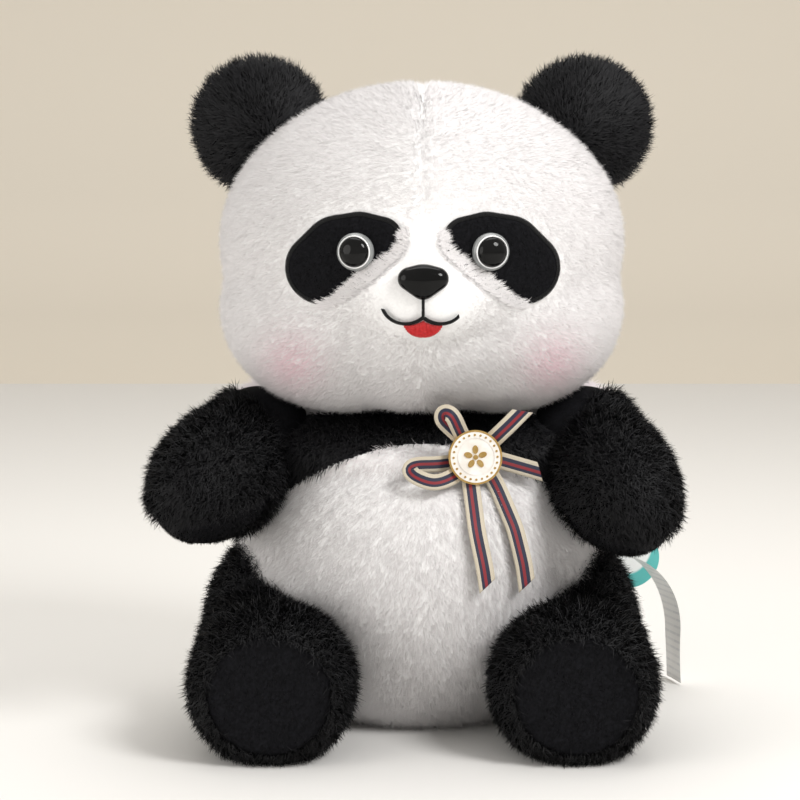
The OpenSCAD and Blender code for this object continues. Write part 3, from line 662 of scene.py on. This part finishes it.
def pile_limb(name):
    obj = limbs[name]
    kind = name[:3]
    p, n, _ = surface_samples(obj, count_for(obj, LIMB_DENSITY[kind]))
    lay = 0.35 + 0.2 * rng.random(len(p))
    length = (6.2 if kind == "ear" else 6.4) * MM * np.ones(len(p))
    root, other = limb_axis[name]
    keep = (p[:, 2] > 1.0 * MM) & (n[:, 2] > -0.97)
    if kind == "ear":
        q = (p - head_c) / head_rr
        keep &= (q ** 2).sum(1) > 0.97
        flow = unit(tangent(n, p - root))
        short = np.zeros(len(p), bool)
    elif kind == "arm":
        flow = unit(tangent(n, other + np.array([0, 0, -0.35])))
        rel = p - root
        along = rel @ other
        short = (along > 36 * MM) & (rel[:, 2] - along * other[2] < -9 * MM)
        keep &= ~(sunk_in(p, belly_c, belly_rr) | sunk_in(p, chest_c, chest_rr))
    else:
        flow = unit(tangent(n, np.array([0, -0.8, -0.5])))
        sole_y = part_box("leg_sole_" + name[4:])[0].y
        short = (p[:, 1] < sole_y + 5 * MM) & (n[:, 1] < -0.75)
        keep &= ~sunk_in(p, belly_c, belly_rr)
    length = length * (0.65 + 0.6 * rng.random(len(p)))
    length = np.where(short, 1.6 * MM * (0.8 + 0.4 * rng.random(len(p))), length)
    for is_short in (False, True):
        m = keep & (short == is_short)
        if m.sum() < 10:
            continue
        strands(name + ("_short_pile" if is_short else "_pile"), obj, velvet_pile if is_short else black_pile,
            p[m], n[m], flow[m], length[m], lay[m], 0.36 * MM, tuft=0.08, pull=0.3 if is_short else 0.45,
            kind="flat" if is_short else "bent", jitter=0.2)
    print(name, "strands", int(keep.sum()))

pile_torso()
for limb_name in limbs:
    pile_limb(limb_name)

p, n, _ = surface_samples(tail, count_for(tail, 2.6))
m = (((p - belly_c) / belly_rr) ** 2).sum(1) > 0.95
p, n = p[m], n[m]
length = 6 * MM * (0.7 + 0.6 * rng.random(len(p)))
strands("tail_pile", tail, white_pile, p, n, unit(tangent(n, np.array([0, 0.3, -1.0]))), length,
    np.full(len(p), 0.4), 0.35 * MM, tuft=0.1, pull=0.5, kind="spike")

# %% [markdown]
# ## Stitched face
# The patches are laid just over the face with a low pile, and a satin-stitched border runs round each one.

# %% Patches, mouth and tongue
def bars(name, centres, alongs, ups, size, mat, body_obj):
    """Rounded stitches: short bars with pointed ends, one per centre."""
    ring = 6
    t = np.linspace(0, 2 * np.pi, ring, endpoint=False)
    prof = [(-0.5, 0.15), (-0.38, 0.8), (0, 1.0), (0.38, 0.8), (0.5, 0.15)]
    length, wide, tall = size
    verts, faces = [], []
    for c, a, u in zip(centres, alongs, ups):
        s = np.cross(a, u)
        base = len(verts)
        for x, r in prof:
            for ang in t:
                spot = c + a * x * length
                verts.append(spot + s * np.cos(ang) * r * wide / 2 + u * np.sin(ang) * r * tall / 2)
        faces += ring_faces(len(prof) - 1, ring, base)
        faces.append(tuple(base + j for j in range(ring))[::-1])
        faces.append(tuple(base + (len(prof) - 1) * ring + j for j in range(ring)))
    obj = mesh_object(name, verts, faces)
    obj.data.materials.append(mat)
    smooth_shade(obj)
    obj.parent = body_obj
    return obj

def face_normal(x, z):
    e = 0.5 * MM
    dx = (face_y(x + e, z) - face_y(x - e, z)) / (2 * e)
    dz = (face_y(x, z + e) - face_y(x, z - e)) / (2 * e)
    return unit(np.stack([dx, -np.ones_like(dx), dz], 1))

def on_face(x, z, lift):
    n = face_normal(x, z)
    return np.stack([x, face_y(x, z), z], 1) + n * lift, n

thread_black = noise_material("thread_black", (0.002, 0.002, 0.002), (0.008, 0.008, 0.009), 1500,
    rough=0.5, spec=0.25)
thread_red = noise_material("thread_red", (0.50, 0.012, 0.015), (0.70, 0.03, 0.035), 1500,
    rough=0.4, spec=0.5)

def make_patch(side):
    poly = patches[side]
    rows = [1.0, 0.985, 0.95, 0.88, 0.75, 0.55, 0.3]
    lifts = [-0.8, 0.7, 1.2, 1.3, 1.3, 1.3, 1.3]
    mid = poly.mean(0)
    verts = []
    n = len(poly)
    for r, lift in zip(rows, lifts):
        ring = mid + (poly - mid) * r
        pos, nor = on_face(ring[:, 0], ring[:, 1], lift * MM)
        verts.extend(pos)
    pos, nor = on_face(mid[None, 0], mid[None, 1], 1.3 * MM)
    verts.extend(pos)
    faces = ring_faces(len(rows) - 1, n)
    for i in range(n):
        faces.append(((len(rows) - 1) * n + i, (len(rows) - 1) * n + (i + 1) % n, len(verts) - 1))
    obj = mesh_object("eye_patch_%s_cloth" % side, verts, faces)
    face_outward(obj)
    obj.data.materials.append(black_cloth)
    obj.parent = head
    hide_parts("eye_patch_" + side)
    q, qn, _ = surface_samples(obj, count_for(obj, 6.0))
    eye = eye_c[side]
    clear = np.linalg.norm((q - eye)[:, [0, 2]], axis=1) > 7.0 * MM
    inner = depth_inside(poly, q[:, 0], q[:, 2])
    m = clear & (inner > 2.2 * MM)
    k = int(m.sum())
    flow = unit(tangent(qn[m], np.array([SIDES[side] * 0.5, 0, -1.0])))
    length = 1.1 * MM * (0.8 + 0.4 * rng.random(k))
    strands("eye_patch_%s_pile" % side, obj, velvet_pile, q[m], qn[m], flow, length, np.full(k, 0.45),
        0.35 * MM, tuft=0.2, pull=0.2, kind="flat")
    loop = np.vstack([poly, poly[:1]])
    step = np.linalg.norm(np.diff(loop, axis=0), axis=1)
    total = step.sum()
    marks = np.arange(0, total, 0.5 * MM)
    run = np.concatenate([[0], np.cumsum(step)])
    bx = np.interp(marks, run, loop[:, 0])
    bz = np.interp(marks, run, loop[:, 1])
    ahead = np.stack([np.interp(marks + 0.6 * MM, run, loop[:, 0], period=total) - bx,
        np.interp(marks + 0.6 * MM, run, loop[:, 1], period=total) - bz], 1)
    ahead /= np.linalg.norm(ahead, axis=1)[:, None]
    inward = np.stack([-ahead[:, 1], ahead[:, 0]], 1)
    covered = low_edge(SIDES[side] * bx - eye_c["left"][0], bz - eye[2])
    bx, bz, ahead, inward = bx[~covered], bz[~covered], ahead[~covered], inward[~covered]
    cx, cz = bx + inward[:, 0] * 1.1 * MM, bz + inward[:, 1] * 1.1 * MM
    pos, nor = on_face(cx, cz, 1.4 * MM)
    slant = inward + ahead * 0.25
    along = unit(tangent(nor, np.stack([slant[:, 0], np.zeros(len(cx)), slant[:, 1]], 1)))
    bars("eye_patch_%s_border" % side, pos, along, nor, (2.2 * MM, 0.55 * MM, 0.6 * MM), thread_black, obj)

for side in SIDES:
    make_patch(side)

mouth_c = np.array([0, head_c[2] - 25.2 * MM])
SMILE_DX = 6.8 * MM
def smile_z(x):
    """Height of the smile: shallow arcs beside the centre seam that curl up at the tips."""
    out = (np.abs(x) - SMILE_DX) / MM
    inner = 10.5 - np.sqrt(np.maximum(10.5 ** 2 - out ** 2, 0))
    outer = 7.5 * (1 - np.sqrt(np.maximum(1 - (out / 8.6) ** 2, 0)))
    return mouth_c[1] + (np.where(out > 0, outer, inner) - 2.4) * MM

def smile_points():
    t = np.linspace(-1, 1, 140)
    x = np.where(t < 0, 15.0, 13.6) * MM * np.sin(t * np.pi / 2)
    return x, smile_z(x)

STITCH_PITCH = 0.42 * MM

def stitch_line(name, x, z, length):
    """A line of satin stitches on the face, each of this length and leaning along the line."""
    seg = np.hypot(np.diff(x), np.diff(z))
    run = np.concatenate([[0], np.cumsum(seg)])
    marks = np.arange(0, run[-1], STITCH_PITCH)
    cx, cz = np.interp(marks, run, x), np.interp(marks, run, z)
    ax = np.interp(marks + 0.3 * MM, run, x) - np.interp(marks - 0.3 * MM, run, x)
    az = np.interp(marks + 0.3 * MM, run, z) - np.interp(marks - 0.3 * MM, run, z)
    along2 = np.stack([ax, az], 1)
    along2 /= np.linalg.norm(along2, axis=1)[:, None]
    across = np.stack([-along2[:, 1], along2[:, 0]], 1) + along2 * 0.5
    pos, nor = on_face(cx, cz, 1.6 * MM)
    along = unit(tangent(nor, np.stack([across[:, 0], np.zeros(len(cx)), across[:, 1]], 1)))
    return bars(name, pos, along, nor, (length, 0.55 * MM, 0.9 * MM), thread_black, head)

sx, sz = smile_points()
mouth = stitch_line("mouth_stitches", sx, sz, 1.9 * MM)
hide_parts("mouth_thread")
vz = np.linspace(mouth_c[1], nose_c[2] - 5.5 * MM, 30)
stitch_line("mouth_line_stitches", np.zeros(30), vz, 1.5 * MM)

def make_tongue():
    r = 7.4 * MM
    xs = np.arange(-7 * MM, 7.01 * MM, 0.5 * MM)
    cs, als, ns, size = [], [], [], []
    for x in xs:
        high = float(smile_z(x)) - 0.3 * MM
        low = mouth_c[1] - 1.8 * MM - math.sqrt(max(r ** 2 - x ** 2, 0))
        if high - low < 0.8 * MM:
            continue
        z = (high + low) / 2
        pos, nor = on_face(np.array([x]), np.array([z]), 1.3 * MM)
        cs.append(pos[0])
        ns.append(nor[0])
        als.append(unit(tangent(nor, np.array([0, 0, 1.0])))[0])
        size.append(high - low)
    ring = 6
    t = np.linspace(0, 2 * np.pi, ring, endpoint=False)
    verts, faces = [], []
    for c, a, u, length in zip(cs, als, ns, size):
        s = np.cross(a, u)
        steps = [(-0.5, 0.3), (-0.44, 0.9), (-0.2, 1), (0.2, 1), (0.44, 0.9), (0.5, 0.3)]
        base = len(verts)
        for x, k in steps:
            spot = c + a * x * length
            y = face_y(np.array([spot[0]]), np.array([spot[2]]))[0] - 1.3 * MM
            spot = np.array([spot[0], y, spot[2]])
            for ang in t:
                verts.append(spot + s * np.cos(ang) * k * 0.36 * MM + u * np.sin(ang) * k * 0.5 * MM)
        faces += ring_faces(len(steps) - 1, ring, base)
    obj = mesh_object("tongue_stitches", verts, faces)
    smooth_shade(obj)
    obj.data.materials.append(thread_red)
    obj.parent = head
    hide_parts("tongue")

make_tongue()

# %% [markdown]
# ## Eyes and nose
# Polished plastic: a black dome in a pale ring with a bright inner lip, and a rounded triangular nose.

# %% Eyes and nose
WELD = 0.001 * MM

def lathe(name, profile, place, mat, steps=64):
    verts = []
    for r, z in profile:
        for i in range(steps):
            a = 2 * math.pi * i / steps
            verts.append(place @ Vector((r * math.cos(a), r * math.sin(a), z)))
    obj = mesh_object(name, verts, ring_faces(len(profile) - 1, steps))
    face_outward(obj, weld=WELD)
    obj.data.materials.append(mat)
    obj.parent = head
    return obj

ring_grey = noise_material("ring_grey", (0.20, 0.21, 0.21), (0.30, 0.31, 0.31), 60,
    rough=0.15, spec=0.6, coat=0.3)
ring_bright = noise_material("ring_bright", (0.86, 0.87, 0.87), (0.93, 0.93, 0.93), 60,
    rough=0.12, spec=0.6, coat=0.5)
EYE_LIP_R = 6.3 * MM
EYE_DOME_R = 5.9 * MM
EYE_DOME_H = 3.6 * MM
for side, s in SIDES.items():
    mid = eye_c[side]
    nor = face_normal(np.array([mid[0]]), np.array([mid[2]]))[0]
    turn = Vector((0, 0, 1)).rotation_difference(Vector(nor)).to_matrix().to_4x4()
    low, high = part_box("eye_ring_" + side)
    place = Matrix.Translation(Vector(mid)) @ turn
    r_out = (high.z - low.z) / 2
    lip = EYE_LIP_R
    ring = lathe("eye_ring_%s_lens" % side, [
        (r_out, -1.2 * MM), (r_out, 0.2 * MM), (r_out - 0.3 * MM, 0.9 * MM), (r_out - 1.0 * MM, 1.3 * MM),
        (lip + 0.1 * MM, 1.5 * MM), (lip, 1.2 * MM)], place, ring_grey)
    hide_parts("eye_ring_" + side)
    lathe("eye_lip_%s" % side, [
        (lip + 0.2 * MM, 1.1 * MM), (lip + 0.15 * MM, 1.6 * MM), (lip - 0.1 * MM, 1.75 * MM),
        (lip - 0.35 * MM, 1.6 * MM), (lip - 0.5 * MM, 1.0 * MM)], place, ring_bright)
    quarter = np.linspace(0, math.pi / 2, 20)
    dome = [(EYE_DOME_R * math.cos(t), 1.2 * MM + EYE_DOME_H * math.sin(t)) for t in quarter]
    ball = lathe("eye_dome_%s" % side, dome, place, black_plastic)
    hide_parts("eye_" + side)

def make_nose():
    bm = bmesh.new()
    add_ellipsoid(bm, (-5.0 * MM, 0, 1.0 * MM), (5.0 * MM, 4.3 * MM, 4.7 * MM))
    add_ellipsoid(bm, (5.0 * MM, 0, 1.0 * MM), (5.0 * MM, 4.3 * MM, 4.7 * MM))
    add_ellipsoid(bm, (0, 0, 0.8 * MM), (8.6 * MM, 5.2 * MM, 6.0 * MM))
    add_ellipsoid(bm, (0, 0, -2.8 * MM), (5.0 * MM, 4.2 * MM, 4.4 * MM))
    hull = bmesh.ops.convex_hull(bm, input=bm.verts)
    loose = [v for v in bm.verts if not v.link_faces or v in hull["geom_interior"]]
    bmesh.ops.delete(bm, geom=loose, context="VERTS")
    mesh = bpy.data.meshes.new("nose_shell")
    bm.to_mesh(mesh)
    bm.free()
    obj = bpy.data.objects.new("nose_shell", mesh)
    scene.collection.objects.link(obj)
    join_and_ease(obj, 0.35 * MM, 12)
    co = get_points(obj)
    low_down = np.clip((-co[:, 2] - 1.0 * MM) / (2.5 * MM), 0, 1)
    groove = np.exp(-(co[:, 0] / (0.55 * MM)) ** 2) * low_down * (co[:, 1] < 0)
    co[:, 1] += groove * 0.7 * MM
    y = face_y(np.array([0.0]), np.array([nose_c[2]]))[0]
    set_points(obj, co + np.array([0, y - 1.2 * MM, nose_c[2]]))
    smooth_shade(obj)
    obj.data.materials.append(black_plastic)
    obj.parent = head
    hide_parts("nose")

make_nose()

# %% [markdown]
# ## Ribbon and badge
# The ribbon is a flat tape woven in stripes. Its loops stand off the chest, and its tails end on a slant.

# %% Ribbon
def ribbon_material():
    mat, nodes, links, shader = new_material("ribbon_twill")
    uv, split = read_uv(nodes, links)
    ramp = nodes.new("ShaderNodeValToRGB")
    ramp.color_ramp.interpolation = "CONSTANT"
    cream, navy, red = (0.72, 0.64, 0.50, 1), (0.012, 0.016, 0.05, 1), (0.30, 0.012, 0.022, 1)
    stops = [(0.0, cream), (0.24, navy), (0.45, red), (0.62, navy), (0.78, cream)]
    bands = ramp.color_ramp
    bands.elements[0].position, bands.elements[0].color = stops[0]
    bands.elements[1].position, bands.elements[1].color = stops[1]
    for pos, col in stops[2:]:
        bands.elements.new(pos).color = col
    links.new(split.outputs["X"], ramp.inputs[0])
    weave = nodes.new("ShaderNodeTexWave")
    weave.wave_type = "BANDS"
    weave.bands_direction = "DIAGONAL"
    weave.inputs["Scale"].default_value = 14
    links.new(uv.outputs["UV"], weave.inputs["Vector"])
    mix = nodes.new("ShaderNodeMix")
    mix.data_type = "RGBA"
    mix.blend_type = "MULTIPLY"
    mix.inputs["Factor"].default_value = 0.35
    links.new(ramp.outputs["Color"], mix.inputs["A"])
    links.new(weave.outputs["Color"], mix.inputs["B"])
    links.new(mix.outputs["Result"], shader.inputs["Base Color"])
    add_bump(nodes, links, shader, weave.outputs["Fac"], 0.4, 0.0003)
    set_values(shader, Roughness=0.55, Sheen_Weight=0.15)
    return mat

twill = ribbon_material()

def chest_y(x, z):
    t = 1 - ((x - belly_c[0]) / belly_rr[0]) ** 2 - ((z - belly_c[2]) / belly_rr[2]) ** 2
    a = belly_c[1] - belly_rr[1] * np.sqrt(np.maximum(t, 0))
    t = 1 - ((x - chest_c[0]) / chest_rr[0]) ** 2 - ((z - chest_c[2]) / chest_rr[2]) ** 2
    b = chest_c[1] - chest_rr[1] * np.sqrt(np.maximum(t, 0))
    return np.minimum(a, b)

def smooth_path(points, count):
    pts = np.array(points, float)
    run = np.concatenate([[0], np.cumsum(np.linalg.norm(np.diff(pts, axis=0), axis=1))])
    t = np.linspace(0, run[-1], count)
    out = np.stack([np.interp(t, run, pts[:, i]) for i in range(3)], 1)
    for _ in range(count // 5):
        out[1:-1] = (out[:-2] + 2 * out[1:-1] + out[2:]) / 4
    return out

def tape(name, path, face, width=7.0 * MM, cut=0.0):
    """A tape along path: face is the direction its front looks. cut slants its far end."""
    path = smooth_path(path, 60)
    n = len(path)
    run = np.concatenate([[0], np.cumsum(np.linalg.norm(np.diff(path, axis=0), axis=1))])
    along = unit(np.gradient(path, axis=0))
    face = np.broadcast_to(np.array(face, float), path.shape) if np.ndim(face) == 1 else np.array(face)
    across = unit(np.cross(along, face))
    up = unit(np.cross(across, along))
    verts, uvs = [], []
    cols = 8
    for i in range(n):
        for j in range(cols + 1):
            s = j / cols - 0.5
            slip = cut * (0.5 - s) * max(0, (i / (n - 1) - 0.75) / 0.25)
            p = path[i] + across[i] * s * width - along[i] * slip + up[i] * 0.25 * MM * math.cos(s * math.pi)
            verts.append(p)
            uvs.append((j / cols * 0.98 + 0.01, run[i] / width * 0.12))
    obj = mesh_object(name, verts, grid_faces(n - 1, cols))
    add_uvs(obj, uvs)
    thick = obj.modifiers.new("thick", "SOLIDIFY")
    thick.thickness = 0.45 * MM
    thick.offset = 0
    bake_modifiers(obj)
    obj.data.materials.append(twill)
    obj.parent = torso
    return obj

badge_c = middle("badge_plate")
bx, bz = badge_c[0], badge_c[2]

def chest_point(dx, dz, lift):
    x, z = bx + dx * MM, bz + dz * MM
    return (x, float(chest_y(np.array([x]), np.array([z]))[0]) - lift * MM, z)

def tape_along(name, marks, **kw):
    return tape(name, [chest_point(*m) for m in marks], (0, -1, 0.0), **kw)

loops = tape_along("ribbon_loop_side", [(0, -1, 2.8), (-9, -2.5, 3.2), (-17, -3, 5.5), (-24, -2.5, 7),
    (-27.5, -4, 8.5), (-25, -6.5, 10.5), (-17, -9.5, 9), (-11, -8.5, 6), (0, -3, 3.1)], width=6.5 * MM)
tape_along("ribbon_loop_top", [(0, 2, 2.8), (-5, 7, 3.2), (-10, 12, 5.5), (-14, 16, 8), (-13, 19.5, 10),
    (-9.5, 18.5, 12), (-7.5, 14, 9.5), (-5, 8, 3.4), (-1, 3, 3.1)], width=6.5 * MM)
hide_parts("ribbon_loops")
end_a = tape_along("ribbon_end_top", [(0, 0, 2.9), (8, 7, 3.2), (14, 13, 6.5), (21, 20, 9.5)], cut=5 * MM)
tape_along("ribbon_end_side", [(0, 0, 2.9), (10, -2, 3.3), (20, -5, 6), (29, -8, 8)], cut=5 * MM)
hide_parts("ribbon_ends")
tail_a = tape_along("ribbon_tail_long", [(-3, -2, 3.2), (-1.5, -12, 4), (0.5, -28, 6), (3.5, -42, 6.5),
    (5, -52, 7)], cut=5 * MM)
tail_b = tape_along("ribbon_tail_short", [(3, -2, 3.2), (9, -12, 4), (16, -28, 6), (19.5, -42, 7),
    (21, -53, 8)], cut=5 * MM)
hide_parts("ribbon_tail_right")
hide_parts("ribbon_tail_left")

# %% Badge finishes
gold = noise_material("gold_plate", (0.62, 0.40, 0.13), (0.78, 0.54, 0.22), 300,
    rough=0.22, spec=0.5, metal=1.0)
pearl = noise_material("pearl_enamel", (0.74, 0.70, 0.64), (0.86, 0.83, 0.79), 180,
    rough=0.22, spec=0.5, coat=0.7)
felt = noise_material("felt_pad", (0.60, 0.59, 0.57), (0.72, 0.71, 0.68), 900, rough=0.9, spec=0.1)
clear_nylon = noise_material("nylon_loop", (0.55, 0.56, 0.56), (0.66, 0.66, 0.66), 200, rough=0.3)
washer_mat = noise_material("washer_white", (0.60, 0.60, 0.58), (0.70, 0.70, 0.68), 200, rough=0.5)
stuffing_mat = noise_material("stuffing_fibre", (0.66, 0.64, 0.60), (0.80, 0.78, 0.74), 700,
    rough=0.95, spec=0.1, bump=0.4)
seam_mat = noise_material("seam_thread", (0.62, 0.61, 0.59), (0.74, 0.73, 0.71), 1200, rough=0.7)

nodes_shown = frame["nodes"]
finishes = {"badge_plate": gold, "badge_motif": gold, "badge_enamel": pearl, "badge_pad": felt,
    "tag_loop": clear_nylon, "closing_thread": seam_mat, "nose_washer": washer_mat,
    "eye_washer_left": washer_mat, "eye_washer_right": washer_mat}
for node in nodes_shown:
    if "stuffing" in node or "filling" in node:
        finishes[node] = stuffing_mat
for node, mat in finishes.items():
    data = nodes_shown[node].data
    data.materials.clear()
    data.materials.append(mat)

# %% [markdown]
# ## Tags
# A satin care label leaves the side seam, bends over and hangs. A shaped card hangs behind it on a nylon loop.

# %% Tags
label_low, label_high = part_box("care_label")
label_nodes = verts_of("care_label")
top_z = label_high.z
seam_mid = label_nodes[label_nodes[:, 2] > top_z - 1 * MM].mean(0)
foot_mid = label_nodes[label_nodes[:, 2] < label_low.z + 1 * MM].mean(0)
drop = top_z - label_low.z

def label_line(t):
    """A point of the label's centre line, with t from 0 at the seam to 1 at the foot."""
    bend = 38 * MM
    arc = bend * math.pi / 2
    run = t * (arc + drop - bend)
    if run < arc:
        a = run / bend
        return bend * math.sin(a), top_z - bend * (1 - math.cos(a)), arc + drop - bend
    return bend, top_z - bend - (run - arc), arc + drop - bend

def make_label():
    outward = foot_mid - seam_mid
    outward[2] = 0
    outward /= np.linalg.norm(outward)
    across = np.array([-outward[1], outward[0], 0])
    start = seam_mid - outward * 1.0 * MM
    width = 16 * MM
    rows, cols = 60, 14
    verts, uvs = [], []
    for i in range(rows + 1):
        t = i / rows
        x, z, long = label_line(t)
        for j in range(cols + 1):
            s = j / cols - 0.5
            wave = 0.9 * MM * math.sin(t * 7 + s * 1.5) * t
            spot = start * np.array([1, 1, 0]) + outward * (x + wave) + across * s * width
            verts.append(spot + np.array([0, 0, z]))
            uvs.append((j / cols, t))
    obj = mesh_object("care_label_cloth", verts, grid_faces(rows, cols))
    add_uvs(obj, uvs)
    smooth_shade(obj)
    mat, nodes, links, shader = new_material("label_satin")
    uv = nodes.new("ShaderNodeUVMap")
    uv.uv_map = "OFBake"
    brick = nodes.new("ShaderNodeTexBrick")
    brick.offset = 0.37
    brick.inputs["Color1"].default_value = (0.72, 0.73, 0.74, 1)
    brick.inputs["Color2"].default_value = (0.80, 0.80, 0.80, 1)
    brick.inputs["Mortar"].default_value = (0.88, 0.88, 0.87, 1)
    brick.inputs["Scale"].default_value = 4
    brick.inputs["Mortar Size"].default_value = 0.055
    brick.inputs["Brick Width"].default_value = 1.7
    brick.inputs["Row Height"].default_value = 0.16
    links.new(uv.outputs["UV"], brick.inputs["Vector"])
    links.new(brick.outputs["Color"], shader.inputs["Base Color"])
    set_values(shader, Roughness=0.45)
    obj.data.materials.append(mat)
    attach(obj, "torso")
    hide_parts("care_label")
    long = label_line(0)[2]
    print("care label", round(long / MM, 1), "mm long")

make_label()

def card_material():
    mat, nodes, links, shader = new_material("card_print")
    low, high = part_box("swing_card")
    place = nodes.new("ShaderNodeTexCoord")
    shift = nodes.new("ShaderNodeVectorMath")
    shift.operation = "SUBTRACT"
    shift.inputs[1].default_value = ((low.x + high.x) / 2, 0, (low.z + high.z) / 2 - 2 * MM)
    links.new(place.outputs["Object"], shift.inputs[0])
    scale = nodes.new("ShaderNodeVectorMath")
    scale.operation = "MULTIPLY"
    scale.inputs[1].default_value = (1 / (13.5 * MM), 0, 1 / (19 * MM))
    links.new(shift.outputs[0], scale.inputs[0])
    reach = nodes.new("ShaderNodeVectorMath")
    reach.operation = "LENGTH"
    links.new(scale.outputs[0], reach.inputs[0])
    ramp = nodes.new("ShaderNodeValToRGB")
    ramp.color_ramp.elements[0].position = 0.78
    ramp.color_ramp.elements[0].color = (0.85, 0.88, 0.87, 1)
    ramp.color_ramp.elements[1].position = 0.84
    ramp.color_ramp.elements[1].color = (0.10, 0.48, 0.46, 1)
    links.new(reach.outputs["Value"], ramp.inputs[0])
    links.new(ramp.outputs["Color"], shader.inputs["Base Color"])
    set_values(shader, Roughness=0.4)
    return mat

card = frame["nodes"]["swing_card"]
card.data.materials.clear()
card.data.materials.append(card_material())

# %% [markdown]
# ## Bodies
# Each skin rides its own body, and the cloth and stuffing it covers are hidden. The pile is parented to it.

# %% Bodies
def finish_skin(obj, body, mat, fill, *nodes):
    obj.data.materials.clear()
    obj.data.materials.append(mat)
    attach(obj, body)
    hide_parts(*nodes)

finish_skin(head, "head", white_cloth, 0.95, "face_panel_left", "face_panel_right", "head_back_panel_left",
    "head_back_panel_right", "head_stuffing")
finish_skin(torso, "torso", white_cloth, 0.9, "belly_panel", "chest_band", "back_panel_left",
    "back_panel_right", "seat_panel", "torso_stuffing")
torso.data.materials.append(black_cloth)
centres = np.array([p.center for p in torso.data.polygons])
torso.data.polygons.foreach_set("material_index", torso_colours(centres).astype(np.int32))
finish_skin(tail, "torso", white_cloth, 0.8, "tail_skin", "tail_filling")
finish_skin(neck, "neck", black_cloth, 0.8, "neck_filling")
LIMB_PARTS = {"arm": (0.85, "sleeve", "palm", "stuffing"), "leg": (0.9, "sleeve", "sole", "stuffing"),
    "ear": (0.8, "front", "back", "filling")}
for side in SIDES:
    for kind, (fill, *parts) in LIMB_PARTS.items():
        covered = ["%s_%s_%s" % (kind, part, side) for part in parts]
        finish_skin(limbs["%s_%s" % (kind, side)], "%s_%s" % (kind, side), black_cloth, fill, *covered)

# %% [markdown]
# ## Light and camera
# A large soft key from the upper right, a weaker fill from the left and a pale room. The camera stands one
# metre away and looks down a little.

# %% Stage
def plain(name, colour, rough=0.8):
    mat, nodes, links, shader = new_material(name)
    shader.inputs["Base Color"].default_value = (*colour, 1)
    set_values(shader, Roughness=rough)
    return mat

floor = mesh_object("floor", [(-3, -2, 0), (3, -2, 0), (3, 1.2, 0), (-3, 1.2, 0)], [(0, 1, 2, 3)])
floor.data.materials.append(plain("floor_pale", (0.80, 0.79, 0.77)))
sweep = [(1.2, 0.0), (1.45, 0.04), (1.6, 0.16), (1.68, 0.4), (1.7, 2.4)]
verts = [(x, y, z) for y, z in sweep for x in (-3, 3)]
faces = [(2 * i, 2 * i + 1, 2 * i + 3, 2 * i + 2) for i in range(len(sweep) - 1)]
wall = mesh_object("backdrop", verts, faces)
wall.data.materials.append(plain("wall_pale", (0.80, 0.74, 0.64)))
smooth_shade(wall)
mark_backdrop(floor, wall)

def area_light(name, place, aim, size, power, colour):
    data = bpy.data.lights.new(name, "AREA")
    data.shape = "DISK"
    data.size = size
    data.energy = power
    data.color = colour
    obj = bpy.data.objects.new(name, data)
    obj.location = place
    obj.rotation_euler = (Vector(aim) - Vector(place)).to_track_quat("-Z", "Y").to_euler()
    scene.collection.objects.link(obj)

aim = (0, 0, 0.14)
area_light("key", (0.75, -0.75, 0.95), aim, 0.5, 12, (1.0, 0.99, 0.98))
area_light("fill", (-0.95, -0.6, 0.35), aim, 0.9, 4.5, (1.0, 0.98, 0.95))
area_light("top", (0.0, 0.25, 1.0), aim, 0.8, 4, (1.0, 0.99, 0.97))
world = bpy.data.worlds.new("room")
world.use_nodes = True
world.node_tree.nodes["Background"].inputs["Color"].default_value = (1.0, 0.97, 0.93, 1)
world.node_tree.nodes["Background"].inputs["Strength"].default_value = 0.62
scene.world = world
scene.view_settings.view_transform = "Standard"
scene.view_settings.look = "None"

target = Vector((-9 * MM, -16 * MM, 134 * MM))
tilt = math.radians(7)
cam_data = bpy.data.cameras.new("camera")
cam_data.sensor_width = 36
cam_data.lens = 36 / (0.8 * 0.42)
cam = bpy.data.objects.new("camera", cam_data)
cam.location = target + Vector((0, -math.cos(tilt), math.sin(tilt)))
cam.rotation_euler = (target - cam.location).to_track_quat("-Z", "Y").to_euler()
scene.collection.objects.link(cam)
scene.camera = cam

# %% Measure the scene box
low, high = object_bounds()
print("scene box", [round(v, 4) for v in (*low, *high)])
